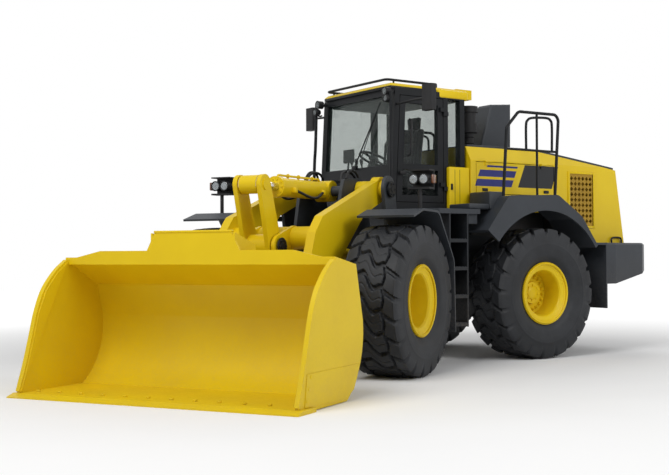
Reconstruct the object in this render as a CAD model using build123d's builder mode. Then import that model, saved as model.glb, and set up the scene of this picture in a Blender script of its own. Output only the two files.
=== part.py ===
from build123d import *
import os
from math import cos, hypot, radians, sin

# Wheel loader, millimetres. X runs forward, Y to the left, Z up, from the ground under the steering hinge.

# Running gear
WHEELBASE = 3450
AXLE_X = WHEELBASE / 2
TREAD = 2300
TYRE_R = 838
TYRE_W = 690
FACETS = 36
LUG_H = 44
LUG_GAP = 62
LUG_REACH = 190
TREAD_W = 560
BEAD_R = 360
FLANGE_R = 400
FLANGE_T = 28
DISH_R = 290
RIM_W = 580
DISC_T = 40
DISC_IN = 60
HUB_R = 150
HUB_LEN = 60
DIFF_R = 225
TUBE_R = 140
BRAKE_R = 235
BRAKE_LEN = 260
AXLE_SEAT = 230
SEAT_GAP = 0.3

# Steering hinge between the two frames
PARK_STEER = 29.4
HINGE_PIN_R = 60
TONGUE_T = 70
TONGUE_LOW_Z = 790
TONGUE_HIGH_Z = 1530
EAR_T = 60
EAR_GAP = 5
EAR_R = 170
PIN_GAP = 0.3

# Front frame and its tower
FRONT_BACK_X = 420
FRONT_NOSE_X = 2020
FRONT_LOW_Z = 700
PLATE_Y = 275
PLATE_T = 40
CHEEK_Y = 690
CHEEK_T = 40

# Loader linkage pins in the front frame, as (X, Z)
BOOM_PIVOT = (980, 2120)
BUCKET_PIN = (3300, 430)
LEVER_PIVOT = (2730, 1440)
LEVER_FOOT = (2510, 900)
LINK_PIN = (3190, 700)
LEVER_TOP = (2930, 2090)
TILT_BASE = (1260, 2100)
LIFT_BASE = (800, 1250)
LIFT_EYE = (2200, 1400)

# Boom
ARM_Y = 560
ARM_T = 100
BOOM_HUB_R = 150
BOOM_NECK_R = 105
BOOM_TIP_R = 130
BOOM_PIN_R = 60
CROSS_TUBE = (2400, 1530)
CROSS_TUBE_R = 125

# Tilt lever, its bracket and the bucket link
LEVER_Y = 145
LEVER_T = 50
LEVER_HUB_R = 130
LEVER_EYE_R = 105
LEVER_PIN_R = 55
BRACKET_Y = 205
BRACKET_T = 40
LINK_T = 150
LINK_EYE_R = 90
LINK_PIN_R = 45

# Hydraulic cylinders
LIFT_Y = 405
LIFT_R = 90
LIFT_ROD_R = 50
LIFT_BARREL = 1150
TILT_R = 105
TILT_ROD_R = 50
TILT_BARREL = 1190
STEER_R = 58
STEER_ROD_R = 32
STEER_BARREL = 750
STEER_ROD = 760
STEER_BASE = (-700, 450, 1100)
STEER_EYE = (520, 430, 1100)
ROD_GAP = 0.3
GLAND_LEN = 90
EYE_GAP = 6
ALONG_X = (0, 90, 0)

# Bucket, in the front frame
BUCKET_W = 3080
BUCKET_SKIN = 32
SIDE_SKIN = 36
EDGE_X = 4789
EDGE_W = 3170
EDGE_T = 40
EDGE_DEPTH = 320
FLOOR_Z = 40
BACK_X = 3450
BACK_Z = 730
CREST = (3590, 1262)
LIP = (4018, 1301)
LIP_RISE = 95
GUARD_HALF = 430
GUARD_H = 190
BUCKET_EAR_T = 40

# Front fenders and lamps
FENDER_IN_Y = 800
FENDER_OUT_Y = 1480
FENDER_T = 24
SKIRT_T = 30
ARCH_R = 1060
FENDER_TOP_Z = 1850
LAMP_X = AXLE_X - 245
LAMP_Y = 1312
LAMP_Z = 2190

# Rear frame
REAR_BACK_X = -AXLE_X - 1225
REAR_NOSE_X = -520
REAR_PLATE_Y = 275
REAR_PLATE_T = 50
DECK_Z = 1900
DECK_T = 60
DECK_HALF = 1350
BOX_IN_Y = 680
BOX_OUT_Y = 1040
STEP_Z = (510, 850, 1190, 1530)

# Cab
CAB_HALF = 800
CAB_WALL = 70
CAB_FRONT_X = 270
CAB_ROOF_FRONT_X = 190
CAB_BACK_X = -920
CAB_TOP_Z = 3400
SILL_Z = 2450
HEADER_Z = CAB_TOP_Z - 80
PILLAR = 75
DOOR_REAR_X = -570
DOOR_LOW_Z = 1990
DOOR_GAP = 8
GLASS_T = 8
ROOF_T = 70

# Hood and rear
HOOD_FRONT_X = -960
HOOD_REAR_TOP_X = -3680
HOOD_REAR_LOW_X = -3850
HOOD_TOP_Z = 2740
HOOD_TAIL_Z = 2530
HOOD_LOW_Z = 1490
HOOD_HALF = 870
HOOD_TOP_HALF = 760
HOOD_SKIN = 40
CW_FRONT_X = -AXLE_X - 1225
CW_REAR_X = CW_FRONT_X - 1110
CW_HALF = 1300
CW_LOW_Z = 930
HITCH_PIN_R = 32
HITCH_SLOT_Z = (1190, 1350)
CREASE_Z = 2560
SLOPE_X = -2200
DOOR_X = (-2450, -1050)
DOOR_Z = (2125, 2545)
HINGE_X = (-2250, -1250)
GRILLE_X = (-3210, -2750)
GRILLE_Z = (1730, 2450)
REAR_GRILLE = (1280, 860)
GRILLE_DROP = 530
GRILLE_HINGE_DROP = (260, 800)
GRILLE_PITCH_X = 600
GRILLE_PITCH_Y = 74
GRILLE_ROWS = 10
MESH_PITCH = 74
MESH_COLUMNS = 6
MESH_ROWS = 9
MESH_HOLE = 46
MESH_T = 20
COVER_W = 1260
COVER_T = 14
STACK_Y = 200
STACK_W = 300
STACK_X = -1575
STACK_TOP_Z = 3425
CLEANER = (-1280, 450)

# Small fittings
KNUCKLE = 50
KNUCKLE_R = 14
KNUCKLE_PIN_R = 8
KNUCKLE_OUT = 16
DOOR_HINGE_OUT = 18
DOOR_HINGE_Z = (2200, 3150)
ROOF_HALF = 740
MIRROR = (150, 1340)
MIRROR_RIGHT_Y = 1110
SEAT_Z = 2330
RAIL_Y = 1300
RAIL_R = 20
RAIL_LOW_Z = 1960
DOOR_FRAME = 85

AXLE_Z = TYRE_R
WHEEL_Y = TREAD / 2

REAR = Plane.XY
FRONT = Plane.XY.rotated((0, 0, PARK_STEER))

os.makedirs("parts", exist_ok=True)


def save(builder, name):
    """Label a finished piece and write it."""
    builder.part.label = name
    export_step(builder.part, f"parts/{name}.step")


def side_plane(base, y=0.0):
    """Plane through y whose sketch axes are X and Z of the base frame."""
    return Plane(origin=base.from_local_coords((0, y, 0)), x_dir=base.x_dir, z_dir=-base.y_dir)


def level_plane(base, z):
    """Horizontal plane at z with the base frame's X and Y."""
    return base.offset(z)


def slab(x, y, z, mode=Mode.ADD):
    """Box between two corners, each direction given as (low, high)."""
    with Locations(((x[0] + x[1]) / 2, (y[0] + y[1]) / 2, (z[0] + z[1]) / 2)):
        Box(x[1] - x[0], y[1] - y[0], z[1] - z[0], mode=mode)


def cross_pin(at, r, y, mode=Mode.ADD):
    """Round pin along Y through the point (X, Z)."""
    with Locations(Location((at[0], (y[0] + y[1]) / 2, at[1]), (90, 0, 0))):
        Cylinder(r, y[1] - y[0], mode=mode)


def upright_pin(at, r, z, mode=Mode.ADD):
    """Round pin along Z through the point (X, Y)."""
    with Locations((at[0], at[1], (z[0] + z[1]) / 2)):
        Cylinder(r, z[1] - z[0], mode=mode)


def plate(base, y, thick, points, corner=0.0, mode=Mode.ADD):
    """Upright plate with an outline in X and Z, its corners rounded."""
    with BuildSketch(side_plane(base, y)) as outline:
        with BuildLine():
            Polyline(*points, close=True)
        make_face()
        if corner:
            fillet(outline.vertices(), corner)
    extrude(outline.sketch, amount=thick / 2, both=True, mode=mode)


def strap(base, y, thick, ends, mode=Mode.ADD):
    """Plate that wraps two or more round ends, each (X, Z, radius)."""
    with BuildSketch(side_plane(base, y)) as outline:
        for first, last in zip(ends, ends[1:]):
            for x, z, r in (first, last):
                with Locations((x, z)):
                    Circle(r)
            run = Vector(last[0] - first[0], last[1] - first[1])
            away = Vector(-run.Y, run.X).normalized()
            start = Vector(first[0], first[1])
            stop = Vector(last[0], last[1])
            corners = [start + away * first[2], start - away * first[2]]
            corners += [stop - away * last[2], stop + away * last[2]]
            with BuildLine():
                Polyline(*[(c.X, c.Y) for c in corners], close=True)
            make_face()
    extrude(outline.sketch, amount=thick / 2, both=True, mode=mode)


def sorted_pair(first, last):
    """The two values in rising order."""
    return (min(first, last), max(first, last))


def knuckle_rod(r, start, stop):
    """Round bar along the rear grille's hinge line, between two drops below the hood's tail."""
    at = hood_rear.from_local_coords((REAR_GRILLE[0] / 2, start, KNUCKLE_OUT))
    line = Plane(origin=at, x_dir=hood_rear.x_dir, z_dir=hood_rear.y_dir)
    rise = (Align.CENTER, Align.CENTER, Align.MIN)
    return line * Cylinder(r, stop - start, align=rise, mode=Mode.PRIVATE)


def both_sides(base):
    """Add the mirror image across the machine's centre plane."""
    mirror(about=side_plane(base))


# Wheels
def wheel_plane(base, x, side):
    """Sketch plane of a wheel: first axis out of the wheel, second axis up."""
    centre = base.from_local_coords((x, side * WHEEL_Y, AXLE_Z))
    return Plane(origin=centre, x_dir=base.y_dir * side, z_dir=base.x_dir * side)


def wheel_axis(base, x):
    return Axis(base.from_local_coords((x, 0, AXLE_Z)), base.y_dir)


def faceted_ring(base, x, side, outline):
    """Wheel-shaped solid in flat facets from a closed outline of (across, radius)."""
    rows = []
    for step in range(FACETS):
        angle = radians(360 * step / FACETS)
        row = [(x + r * cos(angle), side * (WHEEL_Y + y), AXLE_Z + r * sin(angle)) for y, r in outline]
        rows.append([base.from_local_coords(point) for point in row])
    faces = []
    for here, there in zip(rows, rows[1:] + rows[:1]):
        for k in range(len(outline)):
            n = (k + 1) % len(outline)
            faces.append(Face(Wire.make_polygon([here[k], here[n], there[n], there[k]])))
    return Solid(Shell(faces))


def make_wheel(base, x, side, name):
    half = TYRE_W / 2
    seat = RIM_W / 2 - FLANGE_T
    bulge = 0.62 * TYRE_R + 80
    outline = [
        (seat, BEAD_R - 30),
        (seat, FLANGE_R + 4),
        (half, bulge),
        (TREAD_W / 2 + 30, TYRE_R - 60),
        (TREAD_W / 2, TYRE_R),
    ]
    outline += [(-across, radius) for across, radius in reversed(outline)]
    hub = base.from_local_coords((x, side * WHEEL_Y, AXLE_Z))
    with BuildPart() as tyre:
        add(faceted_ring(base, x, side, outline))
        with Locations(Plane(hub, x_dir=base.x_dir, z_dir=base.y_dir)):
            Cylinder(BEAD_R, TYRE_W, mode=Mode.SUBTRACT)
        for across, first in ((1, 360 / FACETS / 2), (-1, 360 / FACETS * 1.5)):
            with Locations(Plane(hub, x_dir=base.x_dir, z_dir=across * base.y_dir)):
                with PolarLocations(TYRE_R, FACETS // 2, start_angle=first):
                    with Locations((0, 0, half - LUG_REACH / 2)):
                        Box(2 * LUG_H, LUG_GAP, LUG_REACH, mode=Mode.SUBTRACT)
    save(tyre, f"tyre_{name}")
    with BuildPart() as rim:
        with BuildSketch(wheel_plane(base, x, side)):
            with BuildLine():
                Polyline(
                    (-RIM_W / 2, BEAD_R - 25),
                    (-RIM_W / 2, FLANGE_R),
                    (-seat, FLANGE_R),
                    (-seat, BEAD_R),
                    (seat, BEAD_R),
                    (seat, FLANGE_R),
                    (RIM_W / 2, FLANGE_R),
                    (RIM_W / 2 - 18, FLANGE_R - 40),
                    (RIM_W / 2 - 40, DISH_R + 12),
                    (RIM_W / 2 - 60, DISH_R),
                    (-DISC_IN + DISC_T, DISH_R - 14),
                    (-DISC_IN + DISC_T, HUB_R),
                    (-DISC_IN + DISC_T + HUB_LEN, HUB_R - 12),
                    (-DISC_IN + DISC_T + HUB_LEN, 0),
                    (-DISC_IN, 0),
                    (-DISC_IN, BEAD_R - 25),
                    close=True,
                )
            make_face()
        revolve(axis=wheel_axis(base, x))
    save(rim, f"rim_{name}")


make_wheel(FRONT, AXLE_X, 1, "front_left")
make_wheel(FRONT, AXLE_X, -1, "front_right")
make_wheel(REAR, -AXLE_X, 1, "rear_left")
make_wheel(REAR, -AXLE_X, -1, "rear_right")


# Axle housings with their brake and hub ends
def make_axle(base, x, name):
    end = WHEEL_Y - DISC_IN - SEAT_GAP
    with BuildPart(base) as axle:
        with BuildSketch(wheel_plane(base, x, 1)):
            with BuildLine():
                Polyline(
                    (-WHEEL_Y, 0),
                    (-WHEEL_Y, DIFF_R),
                    (-WHEEL_Y + 110, DIFF_R),
                    (-WHEEL_Y + 330, TUBE_R + 25),
                    (end - WHEEL_Y - BRAKE_LEN - 60, TUBE_R),
                    (end - WHEEL_Y - BRAKE_LEN, BRAKE_R - 20),
                    (end - WHEEL_Y - 60, BRAKE_R),
                    (end - WHEEL_Y - 60, HUB_R),
                    (end - WHEEL_Y, HUB_R),
                    (end - WHEEL_Y, 0),
                    close=True,
                )
            make_face()
        revolve(axis=wheel_axis(base, x))
        slab((x - 140, x + 140), (PLATE_Y - 60, PLATE_Y + 60), (AXLE_Z, AXLE_Z + AXLE_SEAT))
        both_sides(base)
    save(axle, name)


make_axle(FRONT, AXLE_X, "front_axle")
make_axle(REAR, -AXLE_X, "rear_axle")

# Front frame: hinge tongues, side plates, tower cheeks and pins
tongue_low = (TONGUE_LOW_Z - TONGUE_T / 2, TONGUE_LOW_Z + TONGUE_T / 2)
tongue_high = (TONGUE_HIGH_Z - TONGUE_T / 2, TONGUE_HIGH_Z + TONGUE_T / 2)
frame_seat_z = AXLE_Z + AXLE_SEAT
plate_in = PLATE_Y - PLATE_T / 2
plate_out = PLATE_Y + PLATE_T / 2
cheek_in = CHEEK_Y - CHEEK_T / 2
cheek_out = CHEEK_Y + CHEEK_T / 2
with BuildPart(FRONT) as front_frame:
    plate(
        FRONT,
        PLATE_Y,
        PLATE_T,
        [
            (FRONT_BACK_X, FRONT_LOW_Z),
            (AXLE_X - 330, FRONT_LOW_Z),
            (AXLE_X - 260, frame_seat_z),
            (FRONT_NOSE_X, frame_seat_z),
            (FRONT_NOSE_X, frame_seat_z + 110),
            (TILT_BASE[0] + 330, frame_seat_z + 300),
            (TILT_BASE[0] + 150, TILT_BASE[1]),
            (TILT_BASE[0] + 90, TILT_BASE[1] + 130),
            (BOOM_PIVOT[0] - 60, BOOM_PIVOT[1] + 150),
            (BOOM_PIVOT[0] - 190, BOOM_PIVOT[1]),
            (FRONT_BACK_X + 200, TONGUE_HIGH_Z + 130),
            (FRONT_BACK_X, TONGUE_HIGH_Z + 110),
        ],
        corner=40,
    )
    strap(
        FRONT,
        CHEEK_Y,
        CHEEK_T,
        [(LIFT_BASE[0], LIFT_BASE[1], 150), (BOOM_PIVOT[0], BOOM_PIVOT[1], 160)],
    )
    shelf_z = LIFT_BASE[1] - 190
    slab((LIFT_BASE[0] - 130, LIFT_BASE[0] + 130), (plate_in, cheek_out), (shelf_z, shelf_z + 60))
    cross_pin(LIFT_BASE, BOOM_PIN_R, (plate_in, cheek_out + 25))
    cross_pin(BOOM_PIVOT, BOOM_PIN_R, (plate_in, cheek_out + 25))
    for ear_z in (STEER_EYE[2] - 60, STEER_EYE[2] + 60):
        slab((FRONT_BACK_X, STEER_EYE[0] + 90), (plate_in, STEER_EYE[1] + 70), (ear_z - 20, ear_z + 20))
    both_sides(FRONT)
    slab((FRONT_BACK_X, FRONT_BACK_X + 50), (-plate_in, plate_in), (FRONT_LOW_Z, TONGUE_HIGH_Z + 90))
    slab((FRONT_NOSE_X - 70, FRONT_NOSE_X), (-plate_in, plate_in), (frame_seat_z, frame_seat_z + 100))
    slab((FRONT_BACK_X + 50, AXLE_X - 330), (-plate_in, plate_in), (FRONT_LOW_Z, FRONT_LOW_Z + 40))
    cross_pin(TILT_BASE, BOOM_PIN_R, (-plate_out, plate_out))
    for low, high in (tongue_low, tongue_high):
        with BuildSketch(level_plane(FRONT, low)):
            Circle(EAR_R)
            with BuildLine():
                Polyline(
                    (0, EAR_R),
                    (FRONT_BACK_X, plate_out),
                    (FRONT_BACK_X, -plate_out),
                    (0, -EAR_R),
                    close=True,
                )
            make_face()
            Circle(HINGE_PIN_R + PIN_GAP, mode=Mode.SUBTRACT)
        extrude(amount=high - low)
save(front_frame, "front_frame")

# Front fenders on brackets from the tower cheeks
front_line = [
    (AXLE_X + 330, FENDER_TOP_Z - 80),
    (AXLE_X + 60, FENDER_TOP_Z),
    (AXLE_X - 400, FENDER_TOP_Z - 10),
    (AXLE_X - 880, FENDER_TOP_Z - 570),
    (AXLE_X - 920, AXLE_Z - 400),
]
with BuildPart(FRONT) as front_fenders:
    with BuildSketch(side_plane(FRONT, (FENDER_IN_Y + FENDER_OUT_Y) / 2)):
        with BuildLine() as sweep_line:
            FilletPolyline(*front_line, radius=160)
            offset(amount=FENDER_T, side=Side.LEFT)
        make_face()
    extrude(amount=(FENDER_OUT_Y - FENDER_IN_Y) / 2, both=True)
    stay_z = FENDER_TOP_Z - 90
    slab((BOOM_PIVOT[0], AXLE_X - 210), (cheek_out, FENDER_IN_Y), (stay_z, stay_z + 60))
    slab((AXLE_X - 390, AXLE_X - 210), (FENDER_IN_Y, FENDER_IN_Y + 80), (stay_z, stay_z + 70))
    both_sides(FRONT)
save(front_fenders, "front_fenders")

# Lamp clusters on cranked posts that rise from the front fenders
with BuildPart(FRONT) as head_lamps:
    upright_pin((LAMP_X, LAMP_Y), 22, (FENDER_TOP_Z - 40, LAMP_Z - 110))
    below = [(front_line[2][0], AXLE_Z), (front_line[1][0], AXLE_Z)]
    plate(FRONT, LAMP_Y, 200, front_line[1:3] + below, mode=Mode.SUBTRACT)
    slab((LAMP_X - 110, LAMP_X + 40), (LAMP_Y - 130, LAMP_Y + 130), (LAMP_Z - 110, LAMP_Z - 90))
    slab((LAMP_X - 110, LAMP_X + 40), (LAMP_Y - 130, LAMP_Y + 130), (LAMP_Z + 95, LAMP_Z + 110))
    slab((LAMP_X - 110, LAMP_X - 90), (LAMP_Y - 130, LAMP_Y + 130), (LAMP_Z - 90, LAMP_Z + 95))
    for lamp_y in (LAMP_Y - 62, LAMP_Y + 62):
        with Locations(Location((LAMP_X - 20, lamp_y, LAMP_Z), (0, 90, 0))):
            Cylinder(58, 140)
    both_sides(FRONT)
save(head_lamps, "head_lamps")

# Boom: two cranked arms, cross tube and the lever's bracket
arm_in = ARM_Y - ARM_T / 2
arm_out = ARM_Y + ARM_T / 2
with BuildPart(FRONT) as boom:
    plate(
        FRONT,
        ARM_Y,
        ARM_T,
        [
            (BOOM_PIVOT[0], BOOM_PIVOT[1] + 138),
            (CROSS_TUBE[0] + 80, CROSS_TUBE[1] + 235),
            (CROSS_TUBE[0] + 250, CROSS_TUBE[1] + 60),
            (CROSS_TUBE[0] + 350, CROSS_TUBE[1] - 190),
            (BUCKET_PIN[0] + 105, BUCKET_PIN[1] + 75),
            (BUCKET_PIN[0] - 90, BUCKET_PIN[1] - 95),
            (CROSS_TUBE[0] - 310, CROSS_TUBE[1] - 250),
            (BOOM_PIVOT[0] + 480, BOOM_PIVOT[1] - 310),
            (BOOM_PIVOT[0] - 80, BOOM_PIVOT[1] - 120),
        ],
        corner=50,
    )
    cross_pin(BOOM_PIVOT, BOOM_HUB_R, (arm_in, arm_out))
    cross_pin(BOOM_PIVOT, BOOM_NECK_R, (plate_out + EYE_GAP, cheek_in - EYE_GAP))
    cross_pin(BUCKET_PIN, BOOM_TIP_R, (arm_in, arm_out))
    cross_pin(LIFT_EYE, 80, (LIFT_Y + 60 + EYE_GAP, arm_in))
    strap(
        FRONT,
        BRACKET_Y,
        BRACKET_T,
        [(CROSS_TUBE[0], CROSS_TUBE[1], CROSS_TUBE_R + 10), (LEVER_PIVOT[0], LEVER_PIVOT[1], 120)],
    )
    both_sides(FRONT)
    cross_pin(CROSS_TUBE, CROSS_TUBE_R, (-arm_in, arm_in))
    cross_pin(BOOM_PIVOT, BOOM_PIN_R + PIN_GAP, (-cheek_in, cheek_in), mode=Mode.SUBTRACT)
    cross_pin(BUCKET_PIN, LEVER_PIN_R + PIN_GAP, (-arm_out, arm_out), mode=Mode.SUBTRACT)
    bracket_out = BRACKET_Y + BRACKET_T
    cross_pin(LEVER_PIVOT, LEVER_PIN_R + PIN_GAP, (-bracket_out, bracket_out), mode=Mode.SUBTRACT)
save(boom, "boom")

# Pivot pins of the lever, the link and the bucket
with BuildPart(FRONT) as lever_pin:
    cross_pin(LEVER_PIVOT, LEVER_PIN_R, (-BRACKET_Y - BRACKET_T, BRACKET_Y + BRACKET_T))
save(lever_pin, "lever_pin")

ear_in = LINK_T / 2 + 2 * EYE_GAP
with BuildPart(FRONT) as link_pin:
    cross_pin(LINK_PIN, LINK_PIN_R, (-ear_in - BUCKET_EAR_T - 15, ear_in + BUCKET_EAR_T + 15))
save(link_pin, "link_pin")

hinge_ear_in = arm_in - 10 - BUCKET_EAR_T
hinge_ear_out = arm_out + 10 + BUCKET_EAR_T
with BuildPart(FRONT) as bucket_pins:
    cross_pin(BUCKET_PIN, LEVER_PIN_R, (hinge_ear_in - 15, hinge_ear_out + 15))
    both_sides(FRONT)
save(bucket_pins, "bucket_pins")

# Tilt lever: twin plates on a hub
with BuildPart(FRONT) as lever:
    strap(
        FRONT,
        LEVER_Y,
        LEVER_T,
        [
            (LEVER_TOP[0], LEVER_TOP[1], LEVER_EYE_R),
            (LEVER_PIVOT[0], LEVER_PIVOT[1], LEVER_HUB_R),
            (LEVER_FOOT[0], LEVER_FOOT[1], LEVER_EYE_R),
        ],
    )
    for eye in (LEVER_TOP, LEVER_FOOT):
        cross_pin(eye, LEVER_PIN_R + 5, (LEVER_Y + LEVER_T / 2, LEVER_Y + LEVER_T / 2 + 12))
    both_sides(FRONT)
    cross_pin(LEVER_PIVOT, LEVER_HUB_R, (-LEVER_Y, LEVER_Y))
    cross_pin(LEVER_PIVOT, LEVER_PIN_R + PIN_GAP, (-BRACKET_Y, BRACKET_Y), mode=Mode.SUBTRACT)
save(lever, "tilt_lever")

# Bucket link
with BuildPart(FRONT) as link:
    strap(
        FRONT,
        0,
        LINK_T,
        [(LEVER_FOOT[0], LEVER_FOOT[1], LINK_EYE_R), (LINK_PIN[0], LINK_PIN[1], LINK_EYE_R)],
    )
    cross_pin(LEVER_FOOT, LINK_PIN_R, (-LEVER_Y + LEVER_T, LEVER_Y - LEVER_T))
    cross_pin(LINK_PIN, LINK_PIN_R + PIN_GAP, (-LINK_T, LINK_T), mode=Mode.SUBTRACT)
save(link, "bucket_link")

# Bucket: rolled shell, side plates, top lip, spill guard and hinge ears
edge_back_x = EDGE_X - EDGE_DEPTH
half = BUCKET_W / 2
heel_mid = (BACK_X + 95, 330)
floor_end_x = BACK_X + 350
with BuildPart(FRONT) as bucket:
    with BuildSketch(side_plane(FRONT)):
        with BuildLine():
            Line((edge_back_x, FLOOR_Z), (floor_end_x, FLOOR_Z))
            ThreePointArc((floor_end_x, FLOOR_Z), heel_mid, (BACK_X + BUCKET_SKIN, BACK_Z))
            Line((BACK_X + BUCKET_SKIN, BACK_Z), (CREST[0] + 30, CREST[1] - 30))
            Line((CREST[0] + 30, CREST[1] - 30), LIP)
            offset(amount=BUCKET_SKIN, side=Side.LEFT)
        make_face()
    extrude(amount=half, both=True)
    with BuildSketch(side_plane(FRONT, half - SIDE_SKIN / 2)):
        with BuildLine():
            Polyline(
                (edge_back_x, FLOOR_Z - BUCKET_SKIN),
                (edge_back_x, EDGE_T),
                (EDGE_X - 90, EDGE_T),
                (EDGE_X - 269, 560),
            )
            ThreePointArc((EDGE_X - 269, 560), (EDGE_X - 440, 1010), LIP)
            Polyline(LIP, CREST, (BACK_X, BACK_Z))
            heel = (heel_mid[0] - 26, heel_mid[1] - 22)
            ThreePointArc((BACK_X, BACK_Z), heel, (floor_end_x, FLOOR_Z - BUCKET_SKIN))
            Line((floor_end_x, FLOOR_Z - BUCKET_SKIN), (edge_back_x, FLOOR_Z - BUCKET_SKIN))
        make_face()
    extrude(amount=SIDE_SKIN / 2, both=True)
    plate(
        FRONT,
        GUARD_HALF + 40,
        24,
        [
            (LIP[0], LIP[1] - 20),
            (LIP[0], LIP[1] + LIP_RISE + GUARD_H - 20),
            (CREST[0] + 60, CREST[1] + GUARD_H),
            (CREST[0] + 30, CREST[1] - 20),
        ],
    )
    for ear_y in (hinge_ear_in + BUCKET_EAR_T / 2, hinge_ear_out - BUCKET_EAR_T / 2):
        plate(
            FRONT,
            ear_y,
            BUCKET_EAR_T,
            [
                (BUCKET_PIN[0] - 100, BUCKET_PIN[1] - 80),
                (BUCKET_PIN[0] - 100, BUCKET_PIN[1] + 90),
                (BUCKET_PIN[0] + 40, BUCKET_PIN[1] + 420),
                (BACK_X + 40, BACK_Z + 160),
                (BACK_X + 40, BACK_Z),
                (BACK_X + 130, 300),
                (BUCKET_PIN[0] + 60, BUCKET_PIN[1] - 130),
            ],
            corner=30,
        )
    plate(
        FRONT,
        ear_in + BUCKET_EAR_T / 2,
        BUCKET_EAR_T,
        [
            (LINK_PIN[0] - 80, LINK_PIN[1] - 85),
            (LINK_PIN[0] - 80, LINK_PIN[1] + 85),
            (LINK_PIN[0] + 60, LINK_PIN[1] + 130),
            (BACK_X + 40, BACK_Z + 250),
            (BACK_X + 16, BACK_Z),
            (BACK_X + 60, BACK_Z - 240),
        ],
        corner=30,
    )
    both_sides(FRONT)
    with BuildSketch(side_plane(FRONT)):
        with BuildLine():
            Line((edge_back_x, FLOOR_Z), (floor_end_x, FLOOR_Z))
            ThreePointArc((floor_end_x, FLOOR_Z), heel_mid, (BACK_X + BUCKET_SKIN, BACK_Z))
            Polyline((BACK_X + BUCKET_SKIN, BACK_Z), (CREST[0] + 30, CREST[1] - 30), LIP, (edge_back_x, FLOOR_Z))
        make_face()
    extrude(amount=hinge_ear_out + 20, both=True, mode=Mode.SUBTRACT)
    guard_at = FRONT.from_local_coords((LIP[0] - 28, 0, 0))
    with BuildSketch(Plane(guard_at, x_dir=FRONT.y_dir, z_dir=FRONT.x_dir)):
        with BuildLine():
            Polyline(
                (-half, LIP[1] - 40),
                (-half, LIP[1]),
                (-half + 440, LIP[1] + LIP_RISE),
                (-GUARD_HALF - 100, LIP[1] + LIP_RISE),
                (-GUARD_HALF, LIP[1] + LIP_RISE + GUARD_H),
                (GUARD_HALF, LIP[1] + LIP_RISE + GUARD_H),
                (GUARD_HALF + 100, LIP[1] + LIP_RISE),
                (half - 440, LIP[1] + LIP_RISE),
                (half, LIP[1]),
                (half, LIP[1] - 40),
                close=True,
            )
        make_face()
    extrude(amount=28)
    through = hinge_ear_out + 5
    cross_pin(BUCKET_PIN, LEVER_PIN_R + PIN_GAP, (-through, through), mode=Mode.SUBTRACT)
    cross_pin(LINK_PIN, LINK_PIN_R + PIN_GAP, (-ear_in - 60, ear_in + 60), mode=Mode.SUBTRACT)
save(bucket, "bucket")

with BuildPart(FRONT) as cutting_edge:
    plate(
        FRONT,
        0,
        EDGE_W,
        [(edge_back_x, 0), (edge_back_x, EDGE_T), (EDGE_X - 90, EDGE_T), (EDGE_X, 10), (EDGE_X, 0)],
    )
save(cutting_edge, "cutting_edge")


# Hydraulic cylinders, each a barrel with a base eye and a rod with an end eye
def run_plane(base, start, stop):
    """Plane at start whose normal runs to stop, with its x axis across the run and level with the frame."""
    origin = base.from_local_coords(start)
    along = base.from_local_coords(stop) - origin
    return Plane(origin=origin, x_dir=base.y_dir, z_dir=along)


def make_barrel(r, rod_r, length, eye_r, eye_w, pin_r, turn):
    """Barrel along the plane's normal; turn lays the base eye along the plane's x or y axis."""
    with Locations((0, 0, 0.6 * eye_r)):
        Cylinder(r, length - 0.6 * eye_r, align=(Align.CENTER, Align.CENTER, Align.MIN))
    with Locations((0, 0, length - GLAND_LEN)):
        Cylinder(r + 12, GLAND_LEN, align=(Align.CENTER, Align.CENTER, Align.MIN))
    with Locations(Location((0, 0, 0), turn)):
        Cylinder(eye_r, eye_w)
        Cylinder(pin_r + PIN_GAP, 4 * eye_w, mode=Mode.SUBTRACT)
    with Locations((0, 0, 1.4 * eye_r)):
        Cylinder(rod_r + ROD_GAP, length, align=(Align.CENTER, Align.CENTER, Align.MIN), mode=Mode.SUBTRACT)


def make_rod(rod_r, start, reach, eye_r, eye_w, pin_r, turn):
    """Rod along the plane's normal from start to its eye at reach."""
    with Locations((0, 0, start)):
        Cylinder(rod_r, reach - start, align=(Align.CENTER, Align.CENTER, Align.MIN))
    with Locations(Location((0, 0, reach), turn)):
        Cylinder(eye_r, eye_w)
        Cylinder(pin_r, eye_w + 4)


lift_reach = hypot(LIFT_EYE[0] - LIFT_BASE[0], LIFT_EYE[1] - LIFT_BASE[1])
tilt_reach = hypot(LEVER_TOP[0] - TILT_BASE[0], LEVER_TOP[1] - TILT_BASE[1])
lift_planes = []
for side in (1, -1):
    start = (LIFT_BASE[0], side * LIFT_Y, LIFT_BASE[1])
    stop = (LIFT_EYE[0], side * LIFT_Y, LIFT_EYE[1])
    lift_planes.append(run_plane(FRONT, start, stop))
tilt_plane = run_plane(FRONT, (TILT_BASE[0], 0, TILT_BASE[1]), (LEVER_TOP[0], 0, LEVER_TOP[1]))

with BuildPart(*lift_planes) as lift_barrels:
    make_barrel(LIFT_R, LIFT_ROD_R, LIFT_BARREL, 105, 110, BOOM_PIN_R, ALONG_X)
save(lift_barrels, "lift_barrels")
with BuildPart(*lift_planes) as lift_rods:
    make_rod(LIFT_ROD_R, 160, lift_reach, 80, 110, 45, ALONG_X)
save(lift_rods, "lift_rods")
with BuildPart(tilt_plane) as tilt_barrel:
    make_barrel(TILT_R, TILT_ROD_R, TILT_BARREL, 125, 200, BOOM_PIN_R, ALONG_X)
save(tilt_barrel, "tilt_barrel")
with BuildPart(tilt_plane) as tilt_rod:
    eye_w = 2 * LEVER_Y - LEVER_T - 4 * EYE_GAP
    make_rod(TILT_ROD_R, 420, tilt_reach, LEVER_EYE_R - 10, eye_w, 50, ALONG_X)
save(tilt_rod, "tilt_rod")

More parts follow.
